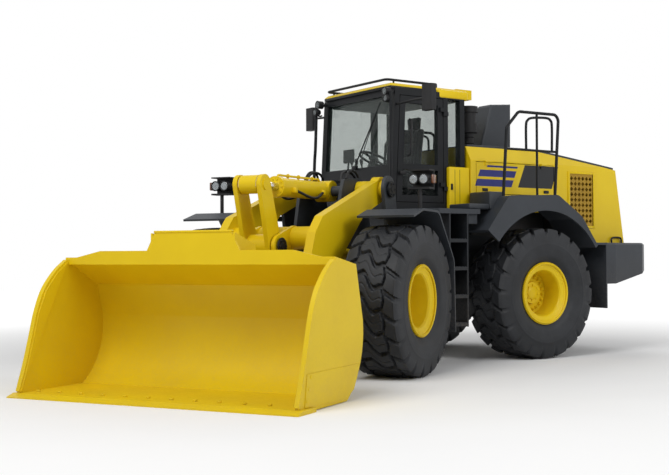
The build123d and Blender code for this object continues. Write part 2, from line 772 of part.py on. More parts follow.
for side, word in ((1, "left"), (-1, "right")):
    base_pin = (STEER_BASE[0], side * STEER_BASE[1], STEER_BASE[2])
    eye = FRONT.from_local_coords((STEER_EYE[0], side * STEER_EYE[1], STEER_EYE[2]))
    run = Vector(eye.X - base_pin[0], eye.Y - base_pin[1], 0)
    steer_plane = Plane(origin=base_pin, x_dir=(0, 0, 1), z_dir=run)
    with BuildPart(steer_plane) as steer_barrel:
        make_barrel(STEER_R, STEER_ROD_R, STEER_BARREL, 70, 70, 32, ALONG_X)
    save(steer_barrel, f"steer_barrel_{word}")
    with BuildPart(steer_plane) as steer_rod:
        make_rod(STEER_ROD_R, run.length - STEER_ROD, run.length, 55, 68, 28, ALONG_X)
    save(steer_rod, f"steer_rod_{word}")

# Rear frame: side plates, hinge ears with their pins, deck beams and steering lugs
rear_in = REAR_PLATE_Y - REAR_PLATE_T / 2
rear_out = REAR_PLATE_Y + REAR_PLATE_T / 2
steer_lug = 35 + EYE_GAP
with BuildPart(REAR) as rear_frame:
    plate(
        REAR,
        REAR_PLATE_Y,
        REAR_PLATE_T,
        [
            (REAR_NOSE_X, 700),
            (-AXLE_X + 350, 760),
            (-AXLE_X + 270, frame_seat_z),
            (-AXLE_X - 270, frame_seat_z),
            (-AXLE_X - 360, 880),
            (REAR_BACK_X, CW_LOW_Z),
            (REAR_BACK_X, HOOD_LOW_Z - 10),
            (REAR_NOSE_X - 500, 1640),
            (REAR_NOSE_X, 1640),
        ],
    )
    beam_z = (DECK_Z - DECK_T - 120, DECK_Z - DECK_T)
    slab((REAR_NOSE_X - 180, REAR_NOSE_X - 40), (rear_in, DECK_HALF - 60), beam_z)
    slab((REAR_NOSE_X - 180, REAR_NOSE_X - 40), (rear_in, rear_out), (1600, DECK_Z - DECK_T))
    for lug_z in (STEER_BASE[2] - steer_lug - 28, STEER_BASE[2] + steer_lug):
        slab((STEER_BASE[0] - 80, STEER_BASE[0]), (rear_in, STEER_BASE[1] + 38), (lug_z, lug_z + 28))
        upright_pin(STEER_BASE, 38, (lug_z, lug_z + 28))
    upright_pin(STEER_BASE, 32, (STEER_BASE[2] - steer_lug - 28, STEER_BASE[2] + steer_lug + 28))
    both_sides(REAR)
    slab((REAR_NOSE_X - 50, REAR_NOSE_X), (-rear_in, rear_in), (700, 1640))
    slab((REAR_BACK_X, REAR_BACK_X + 60), (-rear_in, rear_in), (CW_LOW_Z, HOOD_LOW_Z - 10))
    slab((REAR_NOSE_X, -180), (-200, 200), (1600, DECK_Z - DECK_T))
    slab((-300, -180), (-CAB_HALF + 20, CAB_HALF - 20), beam_z)
    for low, high in (tongue_low, tongue_high):
        for ear_z in (low - EAR_GAP - EAR_T, high + EAR_GAP):
            with BuildSketch(level_plane(REAR, ear_z)):
                Circle(EAR_R - 10)
                with BuildLine():
                    Polyline(
                        (0, EAR_R - 10),
                        (REAR_NOSE_X, rear_out),
                        (REAR_NOSE_X, -rear_out),
                        (0, 10 - EAR_R),
                        close=True,
                    )
                make_face()
            extrude(amount=EAR_T)
        upright_pin((0, 0), HINGE_PIN_R, (low - EAR_GAP - EAR_T, high + EAR_GAP + EAR_T))
save(rear_frame, "rear_frame")

# Engine block between the rear side plates
with BuildPart(REAR) as engine:
    slab((-2850, -1500), (-rear_in, rear_in), (frame_seat_z + 70, 2280))
save(engine, "engine_block")

# Deck plate with open-grid side walks, boxes below it and the step ladders
with BuildPart(REAR) as deck:
    with BuildSketch(level_plane(REAR, DECK_Z - DECK_T)):
        with BuildLine():
            Polyline(
                (100, 0),
                (100, DECK_HALF - 150),
                (-50, DECK_HALF),
                (-700, DECK_HALF),
                (-700, HOOD_HALF),
                (HOOD_FRONT_X - 90, HOOD_HALF),
                (HOOD_FRONT_X - 90, 0),
                close=True,
            )
        make_face()
        mirror(about=Plane.XZ)
    extrude(amount=DECK_T)
save(deck, "deck")

with BuildPart(REAR) as side_boxes:
    slab((-690, -230), (BOX_IN_Y, BOX_OUT_Y), (950, DECK_Z - DECK_T - 121))
    fillet(side_boxes.edges().filter_by(Axis.X), 40)
    slab((-400, -310), (BOX_IN_Y + 60, BOX_OUT_Y - 60), (DECK_Z - DECK_T - 200, DECK_Z - DECK_T))
    both_sides(REAR)
save(side_boxes, "side_boxes")

with BuildPart(REAR) as steps:
    for stringer_x in (-505, -225):
        slab((stringer_x, stringer_x + 20), (BOX_OUT_Y, DECK_HALF), (STEP_Z[0] - 50, DECK_Z - DECK_T))
    for step_z in STEP_Z:
        slab((-485, -225), (BOX_OUT_Y + 20, DECK_HALF), (step_z - 40, step_z))
    both_sides(REAR)
save(steps, "steps")

# Rear fenders with their mudflaps
rear_line = [
    (-AXLE_X + 1010, 1640),
    (-AXLE_X + 660, 2075),
    (-AXLE_X - 200, 2105),
    (-AXLE_X - 640, 1830),
    (-AXLE_X - 930, 1450),
]
with BuildPart(REAR) as rear_fenders:
    with BuildSketch(side_plane(REAR, (HOOD_HALF + FENDER_OUT_Y) / 2)):
        with BuildLine():
            FilletPolyline(*rear_line, radius=110)
            offset(amount=45, side=Side.LEFT)
        make_face()
    extrude(amount=(FENDER_OUT_Y - HOOD_HALF) / 2, both=True)
    with BuildSketch(side_plane(REAR, FENDER_OUT_Y - SKIRT_T / 2)):
        with BuildLine():
            FilletPolyline(*rear_line, radius=110)
            Polyline(rear_line[-1], (-AXLE_X, AXLE_Z), rear_line[0])
        make_face()
        with Locations((-AXLE_X, AXLE_Z)):
            Circle(ARCH_R, mode=Mode.SUBTRACT)
    extrude(amount=SKIRT_T / 2, both=True)
    slab((-AXLE_X - 1140, -AXLE_X - 1120), (1050, 1450), (610, 1490))
    slab((-AXLE_X - 1140, -AXLE_X - 880), (HOOD_HALF, 1450), (1460, 1490))
    both_sides(REAR)
save(rear_fenders, "rear_fenders")

# Counterweight with its hitch
with BuildPart(REAR) as counterweight:
    with BuildSketch(level_plane(REAR, CW_LOW_Z)):
        with BuildLine():
            Polyline(
                (CW_FRONT_X, -CW_HALF),
                (CW_FRONT_X, CW_HALF),
                (CW_FRONT_X - 250, CW_HALF),
                (CW_FRONT_X - 900, CW_HALF - 90),
                (CW_REAR_X, CW_HALF - 240),
                (CW_REAR_X, 240 - CW_HALF),
                (CW_FRONT_X - 900, 90 - CW_HALF),
                (CW_FRONT_X - 250, -CW_HALF),
                close=True,
            )
        make_face()
    extrude(amount=HOOD_LOW_Z - CW_LOW_Z)
    plate(
        REAR,
        0,
        2 * CW_HALF,
        [(CW_FRONT_X - 250, CW_LOW_Z), (CW_REAR_X, CW_LOW_Z + 170), (CW_REAR_X, CW_LOW_Z)],
        mode=Mode.SUBTRACT,
    )
    chamfer(counterweight.faces().sort_by(Axis.Z)[-1].edges(), 25)
    slab((CW_REAR_X - 1, CW_REAR_X + 160), (-130, 130), HITCH_SLOT_Z, mode=Mode.SUBTRACT)
    upright_pin((CW_REAR_X + 90, 0), HITCH_PIN_R, (CW_LOW_Z, HOOD_LOW_Z), mode=Mode.SUBTRACT)
save(counterweight, "counterweight")

# Hood: pressed shell with side doors, side grilles and a rear grille door
hinge_y = HOOD_HALF + KNUCKLE_OUT
hood_rear = Plane(
    origin=(HOOD_REAR_TOP_X, 0, HOOD_TAIL_Z),
    x_dir=(0, 1, 0),
    z_dir=(HOOD_LOW_Z - HOOD_TAIL_Z, 0, HOOD_REAR_TOP_X - HOOD_REAR_LOW_X),
)
with BuildPart(REAR) as hood:
    plate(
        REAR,
        0,
        2 * HOOD_HALF,
        [
            (HOOD_FRONT_X, DECK_Z),
            (HOOD_FRONT_X, HOOD_TOP_Z),
            (SLOPE_X, HOOD_TOP_Z),
            (HOOD_REAR_TOP_X, HOOD_TAIL_Z),
            (HOOD_REAR_LOW_X, HOOD_LOW_Z),
            (-AXLE_X - 1100, HOOD_LOW_Z),
            (-AXLE_X - 800, DECK_Z),
        ],
    )
    with BuildSketch(Plane.YZ.offset(HOOD_REAR_LOW_X - 100)):
        for side in (1, -1):
            with BuildLine():
                Polyline(
                    (side * HOOD_HALF, CREASE_Z),
                    (side * (HOOD_HALF + 50), CREASE_Z),
                    (side * (HOOD_HALF + 50), HOOD_TOP_Z + 60),
                    (side * (HOOD_TOP_HALF - 30), HOOD_TOP_Z + 60),
                    close=True,
                )
            make_face()
    extrude(amount=HOOD_FRONT_X - HOOD_REAR_LOW_X + 200, mode=Mode.SUBTRACT)
    under = hood.faces().filter_by(lambda f: f.normal_at().Z < -0.3)
    offset(amount=-HOOD_SKIN, openings=under)
    slab(DOOR_X, (-HOOD_HALF - 5, HOOD_HALF + 5), DOOR_Z, mode=Mode.SUBTRACT)
    slab(GRILLE_X, (-HOOD_HALF - 5, HOOD_HALF + 5), GRILLE_Z, mode=Mode.SUBTRACT)
    with BuildSketch(hood_rear):
        with Locations((0, GRILLE_DROP)):
            Rectangle(*REAR_GRILLE)
    extrude(amount=100, both=True, mode=Mode.SUBTRACT)
    for side in (1, -1):
        for x in HINGE_X:
            root = sorted_pair(side * (HOOD_HALF - 20), side * hinge_y)
            slab((x - KNUCKLE, x - 2), root, (DOOR_Z[1], DOOR_Z[1] + KNUCKLE_R))
            with Locations(Location((x - KNUCKLE / 2 - 1, side * hinge_y, DOOR_Z[1]), (0, 90, 0))):
                Cylinder(KNUCKLE_R, KNUCKLE - 2)
            with Locations(Location((x - 1, side * hinge_y, DOOR_Z[1]), (0, 90, 0))):
                Cylinder(KNUCKLE_PIN_R, 2 * KNUCKLE - 2)
    for drop in GRILLE_HINGE_DROP:
        with BuildSketch(hood_rear.offset(-20)) as lug:
            with Locations((REAR_GRILLE[0] / 2 + KNUCKLE_R, drop - KNUCKLE / 2)):
                Rectangle(2 * KNUCKLE_R, KNUCKLE - 2)
        extrude(lug.sketch, amount=20 + KNUCKLE_OUT)
        add(knuckle_rod(KNUCKLE_R, drop - KNUCKLE + 1, drop - 1))
        add(knuckle_rod(KNUCKLE_PIN_R, drop - KNUCKLE + 1, drop + KNUCKLE - 1))
save(hood, "hood")

for side, word in ((1, "left"), (-1, "right")):
    with BuildPart(REAR) as hood_door:
        slab(
            (DOOR_X[0] + DOOR_GAP, DOOR_X[1] - DOOR_GAP),
            sorted_pair(side * (HOOD_HALF - HOOD_SKIN), side * HOOD_HALF),
            (DOOR_Z[0] + DOOR_GAP, DOOR_Z[1] - DOOR_GAP),
        )
        for x in HINGE_X:
            root = sorted_pair(side * HOOD_HALF, side * hinge_y)
            slab((x, x + KNUCKLE), root, (DOOR_Z[1] - KNUCKLE, DOOR_Z[1] - 2))
            with Locations(Location((x + KNUCKLE / 2, side * hinge_y, DOOR_Z[1]), (0, 90, 0))):
                Cylinder(KNUCKLE_R, KNUCKLE)
            with Locations(Location((x, side * hinge_y, DOOR_Z[1]), (0, 90, 0))):
                Cylinder(KNUCKLE_PIN_R + PIN_GAP, 4 * KNUCKLE, mode=Mode.SUBTRACT)
    save(hood_door, f"hood_door_{word}")

with BuildPart(REAR) as rear_grille:
    with BuildSketch(hood_rear) as grille_panel:
        with Locations((0, GRILLE_DROP)):
            Rectangle(REAR_GRILLE[0] - 2 * DOOR_GAP, REAR_GRILLE[1] - 2 * DOOR_GAP)
            with GridLocations(GRILLE_PITCH_X, GRILLE_PITCH_Y, 2, GRILLE_ROWS):
                Rectangle(GRILLE_PITCH_X - 60, GRILLE_PITCH_Y - 34, mode=Mode.SUBTRACT)
    extrude(grille_panel.sketch, amount=-HOOD_SKIN)
    for drop in GRILLE_HINGE_DROP:
        with BuildSketch(hood_rear) as lug:
            with Locations((REAR_GRILLE[0] / 2 - KNUCKLE_R, drop + KNUCKLE / 2)):
                Rectangle(2 * KNUCKLE_R, KNUCKLE)
        extrude(lug.sketch, amount=KNUCKLE_OUT)
        add(knuckle_rod(KNUCKLE_R, drop, drop + KNUCKLE))
        add(knuckle_rod(KNUCKLE_PIN_R + PIN_GAP, drop - KNUCKLE, drop + 2 * KNUCKLE), mode=Mode.SUBTRACT)
save(rear_grille, "rear_grille")

with BuildPart(REAR) as side_grilles:
    with BuildSketch(side_plane(REAR, HOOD_HALF)) as mesh_panel:
        with Locations(((GRILLE_X[0] + GRILLE_X[1]) / 2, (GRILLE_Z[0] + GRILLE_Z[1]) / 2)):
            Rectangle(GRILLE_X[1] - GRILLE_X[0], GRILLE_Z[1] - GRILLE_Z[0])
            with GridLocations(MESH_PITCH, MESH_PITCH, MESH_COLUMNS, MESH_ROWS):
                Rectangle(MESH_HOLE, MESH_HOLE, rotation=45, mode=Mode.SUBTRACT)
    extrude(mesh_panel.sketch, amount=MESH_T)
    both_sides(REAR)
save(side_grilles, "side_grilles")

tail_slope = (HOOD_TAIL_Z - HOOD_TOP_Z) / (HOOD_REAR_TOP_X - SLOPE_X)
tail_z = HOOD_TOP_Z + tail_slope * (HOOD_REAR_TOP_X + 80 - SLOPE_X)
cover_z = HOOD_TOP_Z + COVER_T
with BuildPart(REAR) as hood_cover:
    plate(
        REAR,
        0,
        COVER_W,
        [
            (HOOD_FRONT_X, HOOD_TOP_Z),
            (HOOD_FRONT_X, cover_z),
            (SLOPE_X, cover_z),
            (HOOD_REAR_TOP_X + 80, tail_z + COVER_T),
            (HOOD_REAR_TOP_X + 80, tail_z),
            (SLOPE_X, HOOD_TOP_Z),
        ],
    )
save(hood_cover, "hood_cover")

# Exhaust stack and intake pre-cleaner on the hood
with BuildPart(REAR) as stack:
    plate(
        REAR,
        STACK_Y,
        STACK_W,
        [
            (STACK_X, cover_z),
            (STACK_X - 195, STACK_TOP_Z - 65),
            (STACK_X - 225, STACK_TOP_Z - 30),
            (STACK_X - 575, STACK_TOP_Z),
            (STACK_X - 569, cover_z),
        ],
    )
    corners = stack.edges().filter_by(Axis.Y, reverse=True)
    fillet(corners.filter_by(lambda e: e.center().Z > cover_z + 1), 30)
    mouth = (STACK_Y - STACK_W / 2 + 40, STACK_Y + STACK_W / 2 - 40)
    slab((STACK_X - 535, STACK_X - 275), mouth, (STACK_TOP_Z - 175, STACK_TOP_Z + 75), mode=Mode.SUBTRACT)
save(stack, "exhaust_stack")

with BuildPart(REAR) as pre_cleaner:
    upright_pin(CLEANER, 70, (cover_z, 2960))
    upright_pin(CLEANER, 125, (2960, 3080))
    upright_pin(CLEANER, 105, (3080, 3230))
    upright_pin(CLEANER, 130, (3230, 3310))
save(pre_cleaner, "pre_cleaner")


# Cab: shell with cut windows, glass, door and roof
def front_x(z):
    """X of the cab's sloped front face at height z."""
    return CAB_FRONT_X + (CAB_ROOF_FRONT_X - CAB_FRONT_X) * (z - DECK_Z) / (CAB_TOP_Z - DECK_Z)


def side_window(low, back=DOOR_REAR_X, inset=0.0):
    """Outline of a side opening between the front pillar and a rear edge."""
    high = HEADER_Z - inset
    low = low + inset
    return [
        (back + inset, low),
        (front_x(low) - PILLAR - inset, low),
        (front_x(high) - PILLAR - inset, high),
        (back + inset, high),
    ]


def quarter_window():
    """Rear quarter window between the door pillar and the back corner."""
    return [
        (CAB_BACK_X + PILLAR, SILL_Z),
        (DOOR_REAR_X - PILLAR, SILL_Z),
        (DOOR_REAR_X - PILLAR, HEADER_Z),
        (CAB_BACK_X + PILLAR, HEADER_Z),
    ]


cab_in = CAB_HALF - CAB_WALL
wall_y = CAB_HALF - CAB_WALL / 2
glass_half = CAB_HALF - PILLAR - 25
hinge_axis = (DOOR_REAR_X, CAB_HALF + DOOR_HINGE_OUT)
knuckle_y = (CAB_HALF, hinge_axis[1] + KNUCKLE_R)
with BuildPart(REAR) as cab:
    plate(
        REAR,
        0,
        2 * CAB_HALF,
        [
            (CAB_FRONT_X, DECK_Z),
            (CAB_ROOF_FRONT_X, CAB_TOP_Z),
            (CAB_BACK_X, CAB_TOP_Z),
            (CAB_BACK_X, DECK_Z),
        ],
    )
    plate(
        REAR,
        0,
        2 * cab_in,
        [
            (front_x(DECK_Z + CAB_WALL) - CAB_WALL, DECK_Z + CAB_WALL),
            (front_x(CAB_TOP_Z - CAB_WALL) - CAB_WALL, CAB_TOP_Z - CAB_WALL),
            (CAB_BACK_X + CAB_WALL, CAB_TOP_Z - CAB_WALL),
            (CAB_BACK_X + CAB_WALL, DECK_Z + CAB_WALL),
        ],
        mode=Mode.SUBTRACT,
    )
    slab((0, CAB_FRONT_X + 5), (-glass_half, glass_half), (SILL_Z, HEADER_Z), mode=Mode.SUBTRACT)
    back_wall = (CAB_BACK_X - 5, CAB_BACK_X + CAB_WALL + 5)
    slab(back_wall, (-glass_half, glass_half), (SILL_Z, HEADER_Z), mode=Mode.SUBTRACT)
    plate(REAR, wall_y, CAB_WALL + 10, side_window(DOOR_LOW_Z), mode=Mode.SUBTRACT)
    plate(REAR, -wall_y, CAB_WALL + 10, side_window(DOOR_LOW_Z + 110), mode=Mode.SUBTRACT)
    for side in (1, -1):
        plate(REAR, side * wall_y, CAB_WALL + 10, quarter_window(), mode=Mode.SUBTRACT)
    for z in DOOR_HINGE_Z:
        slab((hinge_axis[0] - 60, hinge_axis[0]), knuckle_y, (z - KNUCKLE + 1, z - 1))
        upright_pin(hinge_axis, KNUCKLE_R, (z - KNUCKLE + 1, z - 1))
        upright_pin(hinge_axis, KNUCKLE_PIN_R, (z - KNUCKLE + 1, z + KNUCKLE - 1))
save(cab, "cab")

with BuildPart(REAR) as cab_glass:
    plate(
        REAR,
        0,
        2 * glass_half,
        [
            (front_x(SILL_Z) - 30, SILL_Z),
            (front_x(SILL_Z) - 30 + GLASS_T, SILL_Z),
            (front_x(HEADER_Z) - 30 + GLASS_T, HEADER_Z),
            (front_x(HEADER_Z) - 30, HEADER_Z),
        ],
    )
    slab((CAB_BACK_X + 30, CAB_BACK_X + 30 + GLASS_T), (-glass_half, glass_half), (SILL_Z, HEADER_Z))
    plate(REAR, -wall_y, GLASS_T, side_window(DOOR_LOW_Z + 110))
    for side in (1, -1):
        plate(REAR, side * wall_y, GLASS_T, quarter_window())
save(cab_glass, "cab_glass")

with BuildPart(REAR) as cab_door:
    plate(REAR, wall_y, CAB_WALL, side_window(DOOR_LOW_Z, inset=DOOR_GAP))
    plate(
        REAR,
        wall_y,
        CAB_WALL + 10,
        side_window(DOOR_LOW_Z, inset=DOOR_GAP + DOOR_FRAME),
        mode=Mode.SUBTRACT,
    )
    slab(
        (DOOR_REAR_X + DOOR_GAP, front_x(SILL_Z) - PILLAR - DOOR_GAP - 5),
        (cab_in, CAB_HALF),
        (SILL_Z - 50, SILL_Z + 20),
    )
    for z in DOOR_HINGE_Z:
        slab((hinge_axis[0] + 2, hinge_axis[0] + 70), knuckle_y, (z, z + KNUCKLE))
        upright_pin(hinge_axis, KNUCKLE_R, (z, z + KNUCKLE))
        upright_pin(hinge_axis, KNUCKLE_PIN_R + PIN_GAP, (z - 5, z + KNUCKLE + 5), mode=Mode.SUBTRACT)
save(cab_door, "cab_door")

with BuildPart(REAR) as door_glass:
    plate(REAR, wall_y, GLASS_T, side_window(DOOR_LOW_Z, inset=DOOR_GAP + DOOR_FRAME))
    slab(
        (DOOR_REAR_X, front_x(SILL_Z)),
        (cab_in, CAB_HALF),
        (SILL_Z - 50, SILL_Z + 20),
        mode=Mode.SUBTRACT,
    )
save(door_glass, "door_glass")

with BuildPart(REAR) as roof:
    slab((CAB_BACK_X - 30, CAB_ROOF_FRONT_X + 30), (-ROOF_HALF, ROOF_HALF), (CAB_TOP_Z, CAB_TOP_Z + ROOF_T))
    chamfer(roof.faces().sort_by(Axis.Z)[-1].edges(), 30)
    cooler_z = (CAB_TOP_Z - 30, CAB_TOP_Z + 95)
    slab((CAB_BACK_X - 260, CAB_BACK_X), (-ROOF_HALF + 100, ROOF_HALF - 100), cooler_z)
    under = (CAB_TOP_Z - 30, CAB_TOP_Z)
    slab((CAB_BACK_X - 30, CAB_BACK_X), (-ROOF_HALF, ROOF_HALF), under, mode=Mode.SUBTRACT)
save(roof, "roof")


def tube(points, r, bend=0):
    """Bent tube along a line of points."""
    with BuildLine() as path:
        if len(points) > 2:
            FilletPolyline(*points, radius=bend)
        else:
            Line(*points)
    with BuildSketch(Plane(origin=path.line @ 0, z_dir=path.line % 0)) as section:
        Circle(r)
    sweep(section.sketch, path=path.line)


with BuildPart(REAR) as roof_rail:
    rail_z = CAB_TOP_Z + ROOF_T + 45
    for side in (1, -1):
        for x in (-560, 120):
            upright_pin((x, side * (ROOF_HALF - 70)), 12, (CAB_TOP_Z + ROOF_T, rail_z))
    tube(
        [
            (-560, ROOF_HALF - 70, rail_z),
            (CAB_ROOF_FRONT_X + 40, ROOF_HALF - 70, rail_z),
            (CAB_ROOF_FRONT_X + 40, 70 - ROOF_HALF, rail_z),
            (-560, 70 - ROOF_HALF, rail_z),
        ],
        16,
        60,
    )
save(roof_rail, "roof_rail")

with BuildPart(REAR) as mirrors:
    for side, out in ((1, MIRROR[1]), (-1, MIRROR_RIGHT_Y)):
        arm = [
            (front_x(3200) - 35, side * CAB_HALF, 3200),
            (front_x(3200) - 35, side * (CAB_HALF + 110), 3200),
            (MIRROR[0], side * (CAB_HALF + 240), 3210),
            (MIRROR[0], side * (out + 20), 3210),
        ]
        tube(arm, 14, 40)
        across = sorted_pair(side * (out - 20), side * (out + 170))
        slab((MIRROR[0] - 45, MIRROR[0] + 45), across, (CAB_TOP_Z - 345, CAB_TOP_Z - 35))
    fillet(mirrors.edges().filter_by(Axis.Z).filter_by(lambda e: e.length > 250), 25)
save(mirrors, "mirrors")

with BuildPart(REAR) as work_lamps:
    slab((front_x(3335), front_x(3335) + 70), (CAB_HALF - 60, CAB_HALF - 20), (3335, 3365))
    with Locations(Location((front_x(3335) + 95, CAB_HALF - 40, 3350), (0, 90, 0))):
        Cylinder(52, 70)
    both_sides(REAR)
save(work_lamps, "work_lamps")

# Seat, pedestal and steering column inside the cab
cab_floor = DECK_Z + CAB_WALL
with BuildPart(REAR) as seat_base:
    slab((-620, -260), (-190, 190), (cab_floor, SEAT_Z - 60))
    slab((-700, -180), (-320, 250), (SEAT_Z - 60, SEAT_Z))
    slab((-620, -150), (-460, -300), (cab_floor, SEAT_Z + 150))
save(seat_base, "seat_base")
with BuildPart(REAR) as seat:
    slab((-690, -160), (-245, 245), (SEAT_Z, SEAT_Z + 120))
    plate(
        REAR,
        0,
        470,
        [(-690, SEAT_Z + 100), (-570, SEAT_Z + 100), (-660, SEAT_Z + 700), (-760, SEAT_Z + 700)],
    )
    slab((-770, -680), (-140, 140), (SEAT_Z + 690, SEAT_Z + 880))
save(seat, "seat")
with BuildPart(REAR) as column:
    slab((20, 150), (-140, 140), (cab_floor, 2420))
    with Locations(Location((20, 0, 2440), (0, -25, 0))):
        Cylinder(40, 320)
    with Locations(Location((-49, 0, 2588), (0, -25, 0))):
        Torus(190, 16)
        Box(360, 40, 16)
save(column, "steering_column")

# Handrails on the rear fenders
with BuildPart(REAR) as handrails:
    tube(
        [
            (-1122, RAIL_Y, RAIL_LOW_Z),
            (-1195, RAIL_Y, 2955),
            (-1400, RAIL_Y, 3165),
            (-2115, RAIL_Y, 3170),
            (-2030, RAIL_Y, RAIL_LOW_Z),
        ],
        RAIL_R,
        90,
    )
    tube([(-1165, RAIL_Y, 2680), (-2080, RAIL_Y, 2680)], RAIL_R - 4)
    tube([(-1720, RAIL_Y, 3160), (-1720, RAIL_Y, RAIL_LOW_Z)], RAIL_R - 4)
    below = [(rear_line[3][0], HOOD_LOW_Z), (rear_line[1][0], HOOD_LOW_Z)]
    plate(REAR, RAIL_Y, 4 * RAIL_R, rear_line[1:4] + below, mode=Mode.SUBTRACT)
    both_sides(REAR)
save(handrails, "handrails")

with BuildPart(REAR) as tail_lamps:
    slab((CW_REAR_X - 14, CW_REAR_X), (780, 980), (1300, 1400))
    both_sides(REAR)
save(tail_lamps, "tail_lamps")
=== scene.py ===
import math
import bmesh
import bpy
import numpy as np
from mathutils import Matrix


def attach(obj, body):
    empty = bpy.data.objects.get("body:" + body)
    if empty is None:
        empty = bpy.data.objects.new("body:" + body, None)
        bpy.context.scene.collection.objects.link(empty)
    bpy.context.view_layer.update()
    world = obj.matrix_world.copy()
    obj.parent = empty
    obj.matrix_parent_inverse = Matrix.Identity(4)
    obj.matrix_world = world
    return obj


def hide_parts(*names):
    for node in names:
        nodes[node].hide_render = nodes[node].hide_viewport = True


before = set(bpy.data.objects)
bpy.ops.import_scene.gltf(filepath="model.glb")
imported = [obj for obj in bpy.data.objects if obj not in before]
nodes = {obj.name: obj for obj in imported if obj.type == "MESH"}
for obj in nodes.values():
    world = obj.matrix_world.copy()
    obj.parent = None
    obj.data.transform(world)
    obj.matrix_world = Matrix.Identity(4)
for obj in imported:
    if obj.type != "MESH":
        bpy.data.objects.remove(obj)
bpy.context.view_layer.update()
scene = bpy.context.scene
print("loaded", len(nodes), "solids")

machine = {
    "steerDeg": 29.4,  # the front half is parked this far to the left
    "axleX": 1.725,
    "axleZ": 0.838,
    "wheelY": 1.15,
    "boomPivot": (0.98, 2.12),  # from here on, pin centres of the linkage as (x, z)
    "bucketPin": (3.3, 0.43),
    "leverPivot": (2.73, 1.44),
    "leverTop": (2.93, 2.09),
    "tiltBase": (1.26, 2.1),
    "liftBase": (0.8, 1.25),
    "liftEye": (2.2, 1.4),
}
steerCos = math.cos(math.radians(machine["steerDeg"]))
steerSin = math.sin(math.radians(machine["steerDeg"]))


# front half: x' = x cos - y sin, y' = x sin + y cos, height kept
def frontHalf(points):
    p = np.asarray(points, float)
    x = steerCos * p[..., 0] - steerSin * p[..., 1]
    y = steerSin * p[..., 0] + steerCos * p[..., 1]
    return np.stack([x, y, p[..., 2]], -1)


bothSides = (("left", 1), ("right", -1))
wheelEnds = (("front", machine["axleX"]), ("rear", -machine["axleX"]))
rearBodies = {"rear_frame", "cab_door", "hood_door_left", "hood_door_right", "wheel_rear_left", "wheel_rear_right"}


# quads between neighbours of a rows x cols grid, joined round where asked
def gridFaces(rows, cols, closeRows=False, closeCols=False):
    a, b = np.meshgrid(
        np.arange(rows if closeRows else rows - 1),
        np.arange(cols if closeCols else cols - 1),
        indexing="ij",
    )
    a1, b1 = (a + 1) % rows, (b + 1) % cols
    return np.stack([a * cols + b, a1 * cols + b, a1 * cols + b1, a * cols + b1], -1).reshape(-1, 4)


# the same for a tube, with a face on both ends
def tubeFaces(rows, cols):
    ends = [list(range(cols))[::-1], list(range((rows - 1) * cols, rows * cols))]
    return gridFaces(rows, cols, closeCols=True).tolist() + ends


# several (points, faces) shapes as one, later faces counted on from earlier points
def weld(*shapes):
    start = np.cumsum([0] + [len(s[0]) for s in shapes])
    points = np.concatenate([s[0] for s in shapes])
    faces = []
    for shape, first in zip(shapes, start):
        faces += [[int(i) + int(first) for i in face] for face in shape[1]]
    return points, faces


# points put through a function that moves whole arrays
def moved(shape, move):
    return move(shape[0]), shape[1]


def mirrored(shape):
    return weld(shape, (shape[0] * np.array([1, -1, 1]), [list(face)[::-1] for face in shape[1]]))


# rounded block: unit directions on a sphere grid, each octant pushed out to its own corner,
# p = centre + sign(d) (half - r) + r d
def block(low, high, r=0.01, steps=3):
    low, high = np.asarray(low, float), np.asarray(high, float)
    quarter = np.linspace(0, math.pi / 2, steps)
    az = (quarter[None] + np.arange(4)[:, None] * math.pi / 2).ravel()
    el = np.concatenate([quarter - math.pi / 2, quarter])[:, None]
    d = np.stack(np.broadcast_arrays(np.cos(el) * np.cos(az), np.cos(el) * np.sin(az), np.sin(el)), -1)
    signX, signY = np.repeat([[1, -1, -1, 1], [1, 1, -1, -1]], steps, axis=1)
    signZ = np.repeat([-1, 1], steps)[:, None]
    s = np.stack(np.broadcast_arrays(signX, signY, signZ), -1)
    r = min(r, 0.49 * float((high - low).min()))
    p = (low + high) / 2 + s * ((high - low) / 2 - r) + r * d
    return p.reshape(-1, 3), tubeFaces(len(el), len(az))


# frame of two directions across each tangent of a path
def crossDirections(path, up):
    t = np.gradient(path, axis=0)
    t /= np.linalg.norm(t, axis=1)[:, None]
    side = np.cross(t, np.broadcast_to(np.asarray(up, float), t.shape))
    side /= np.linalg.norm(side, axis=1)[:, None]
    return side, np.cross(side, t)


# a closed section (n, 2) carried along a path (m, 3): p = path + u side + v over
def carried(path, section, up):
    path, section = np.asarray(path, float), np.asarray(section, float)
    side, over = crossDirections(path, up)
    p = path[:, None] + section[None, :, :1] * side[:, None] + section[None, :, 1:] * over[:, None]
    n = len(section)
    faces = gridFaces(len(path), n, closeCols=True).tolist()
    faces.append(list(range(n)))
    faces.append(list(range((len(path) - 1) * n, len(path) * n))[::-1])
    return p.reshape(-1, 3), faces


def ring(r, sides):
    a = np.arange(sides) * 2 * math.pi / sides
    return np.stack([r * np.cos(a), r * np.sin(a)], -1)


# Catmull-Rom line through points: cubic in each span, tangents from the neighbours
def easedLine(points, perSpan):
    p = np.asarray(points, float)
    ext = np.concatenate([2 * p[:1] - p[1:2], p, 2 * p[-1:] - p[-2:-1]])
    t = np.linspace(0, 1, perSpan, endpoint=False)[None, :, None]
    a, b, c, d = ext[:-3, None], ext[1:-2, None], ext[2:-1, None], ext[3:, None]
    line = 0.5 * (2 * b + (c - a) * t + (2 * a - 5 * b + 4 * c - d) * t**2 + (3 * b - a - 3 * c + d) * t**3)
    return np.concatenate([line.reshape(-1, 3), p[-1:]])


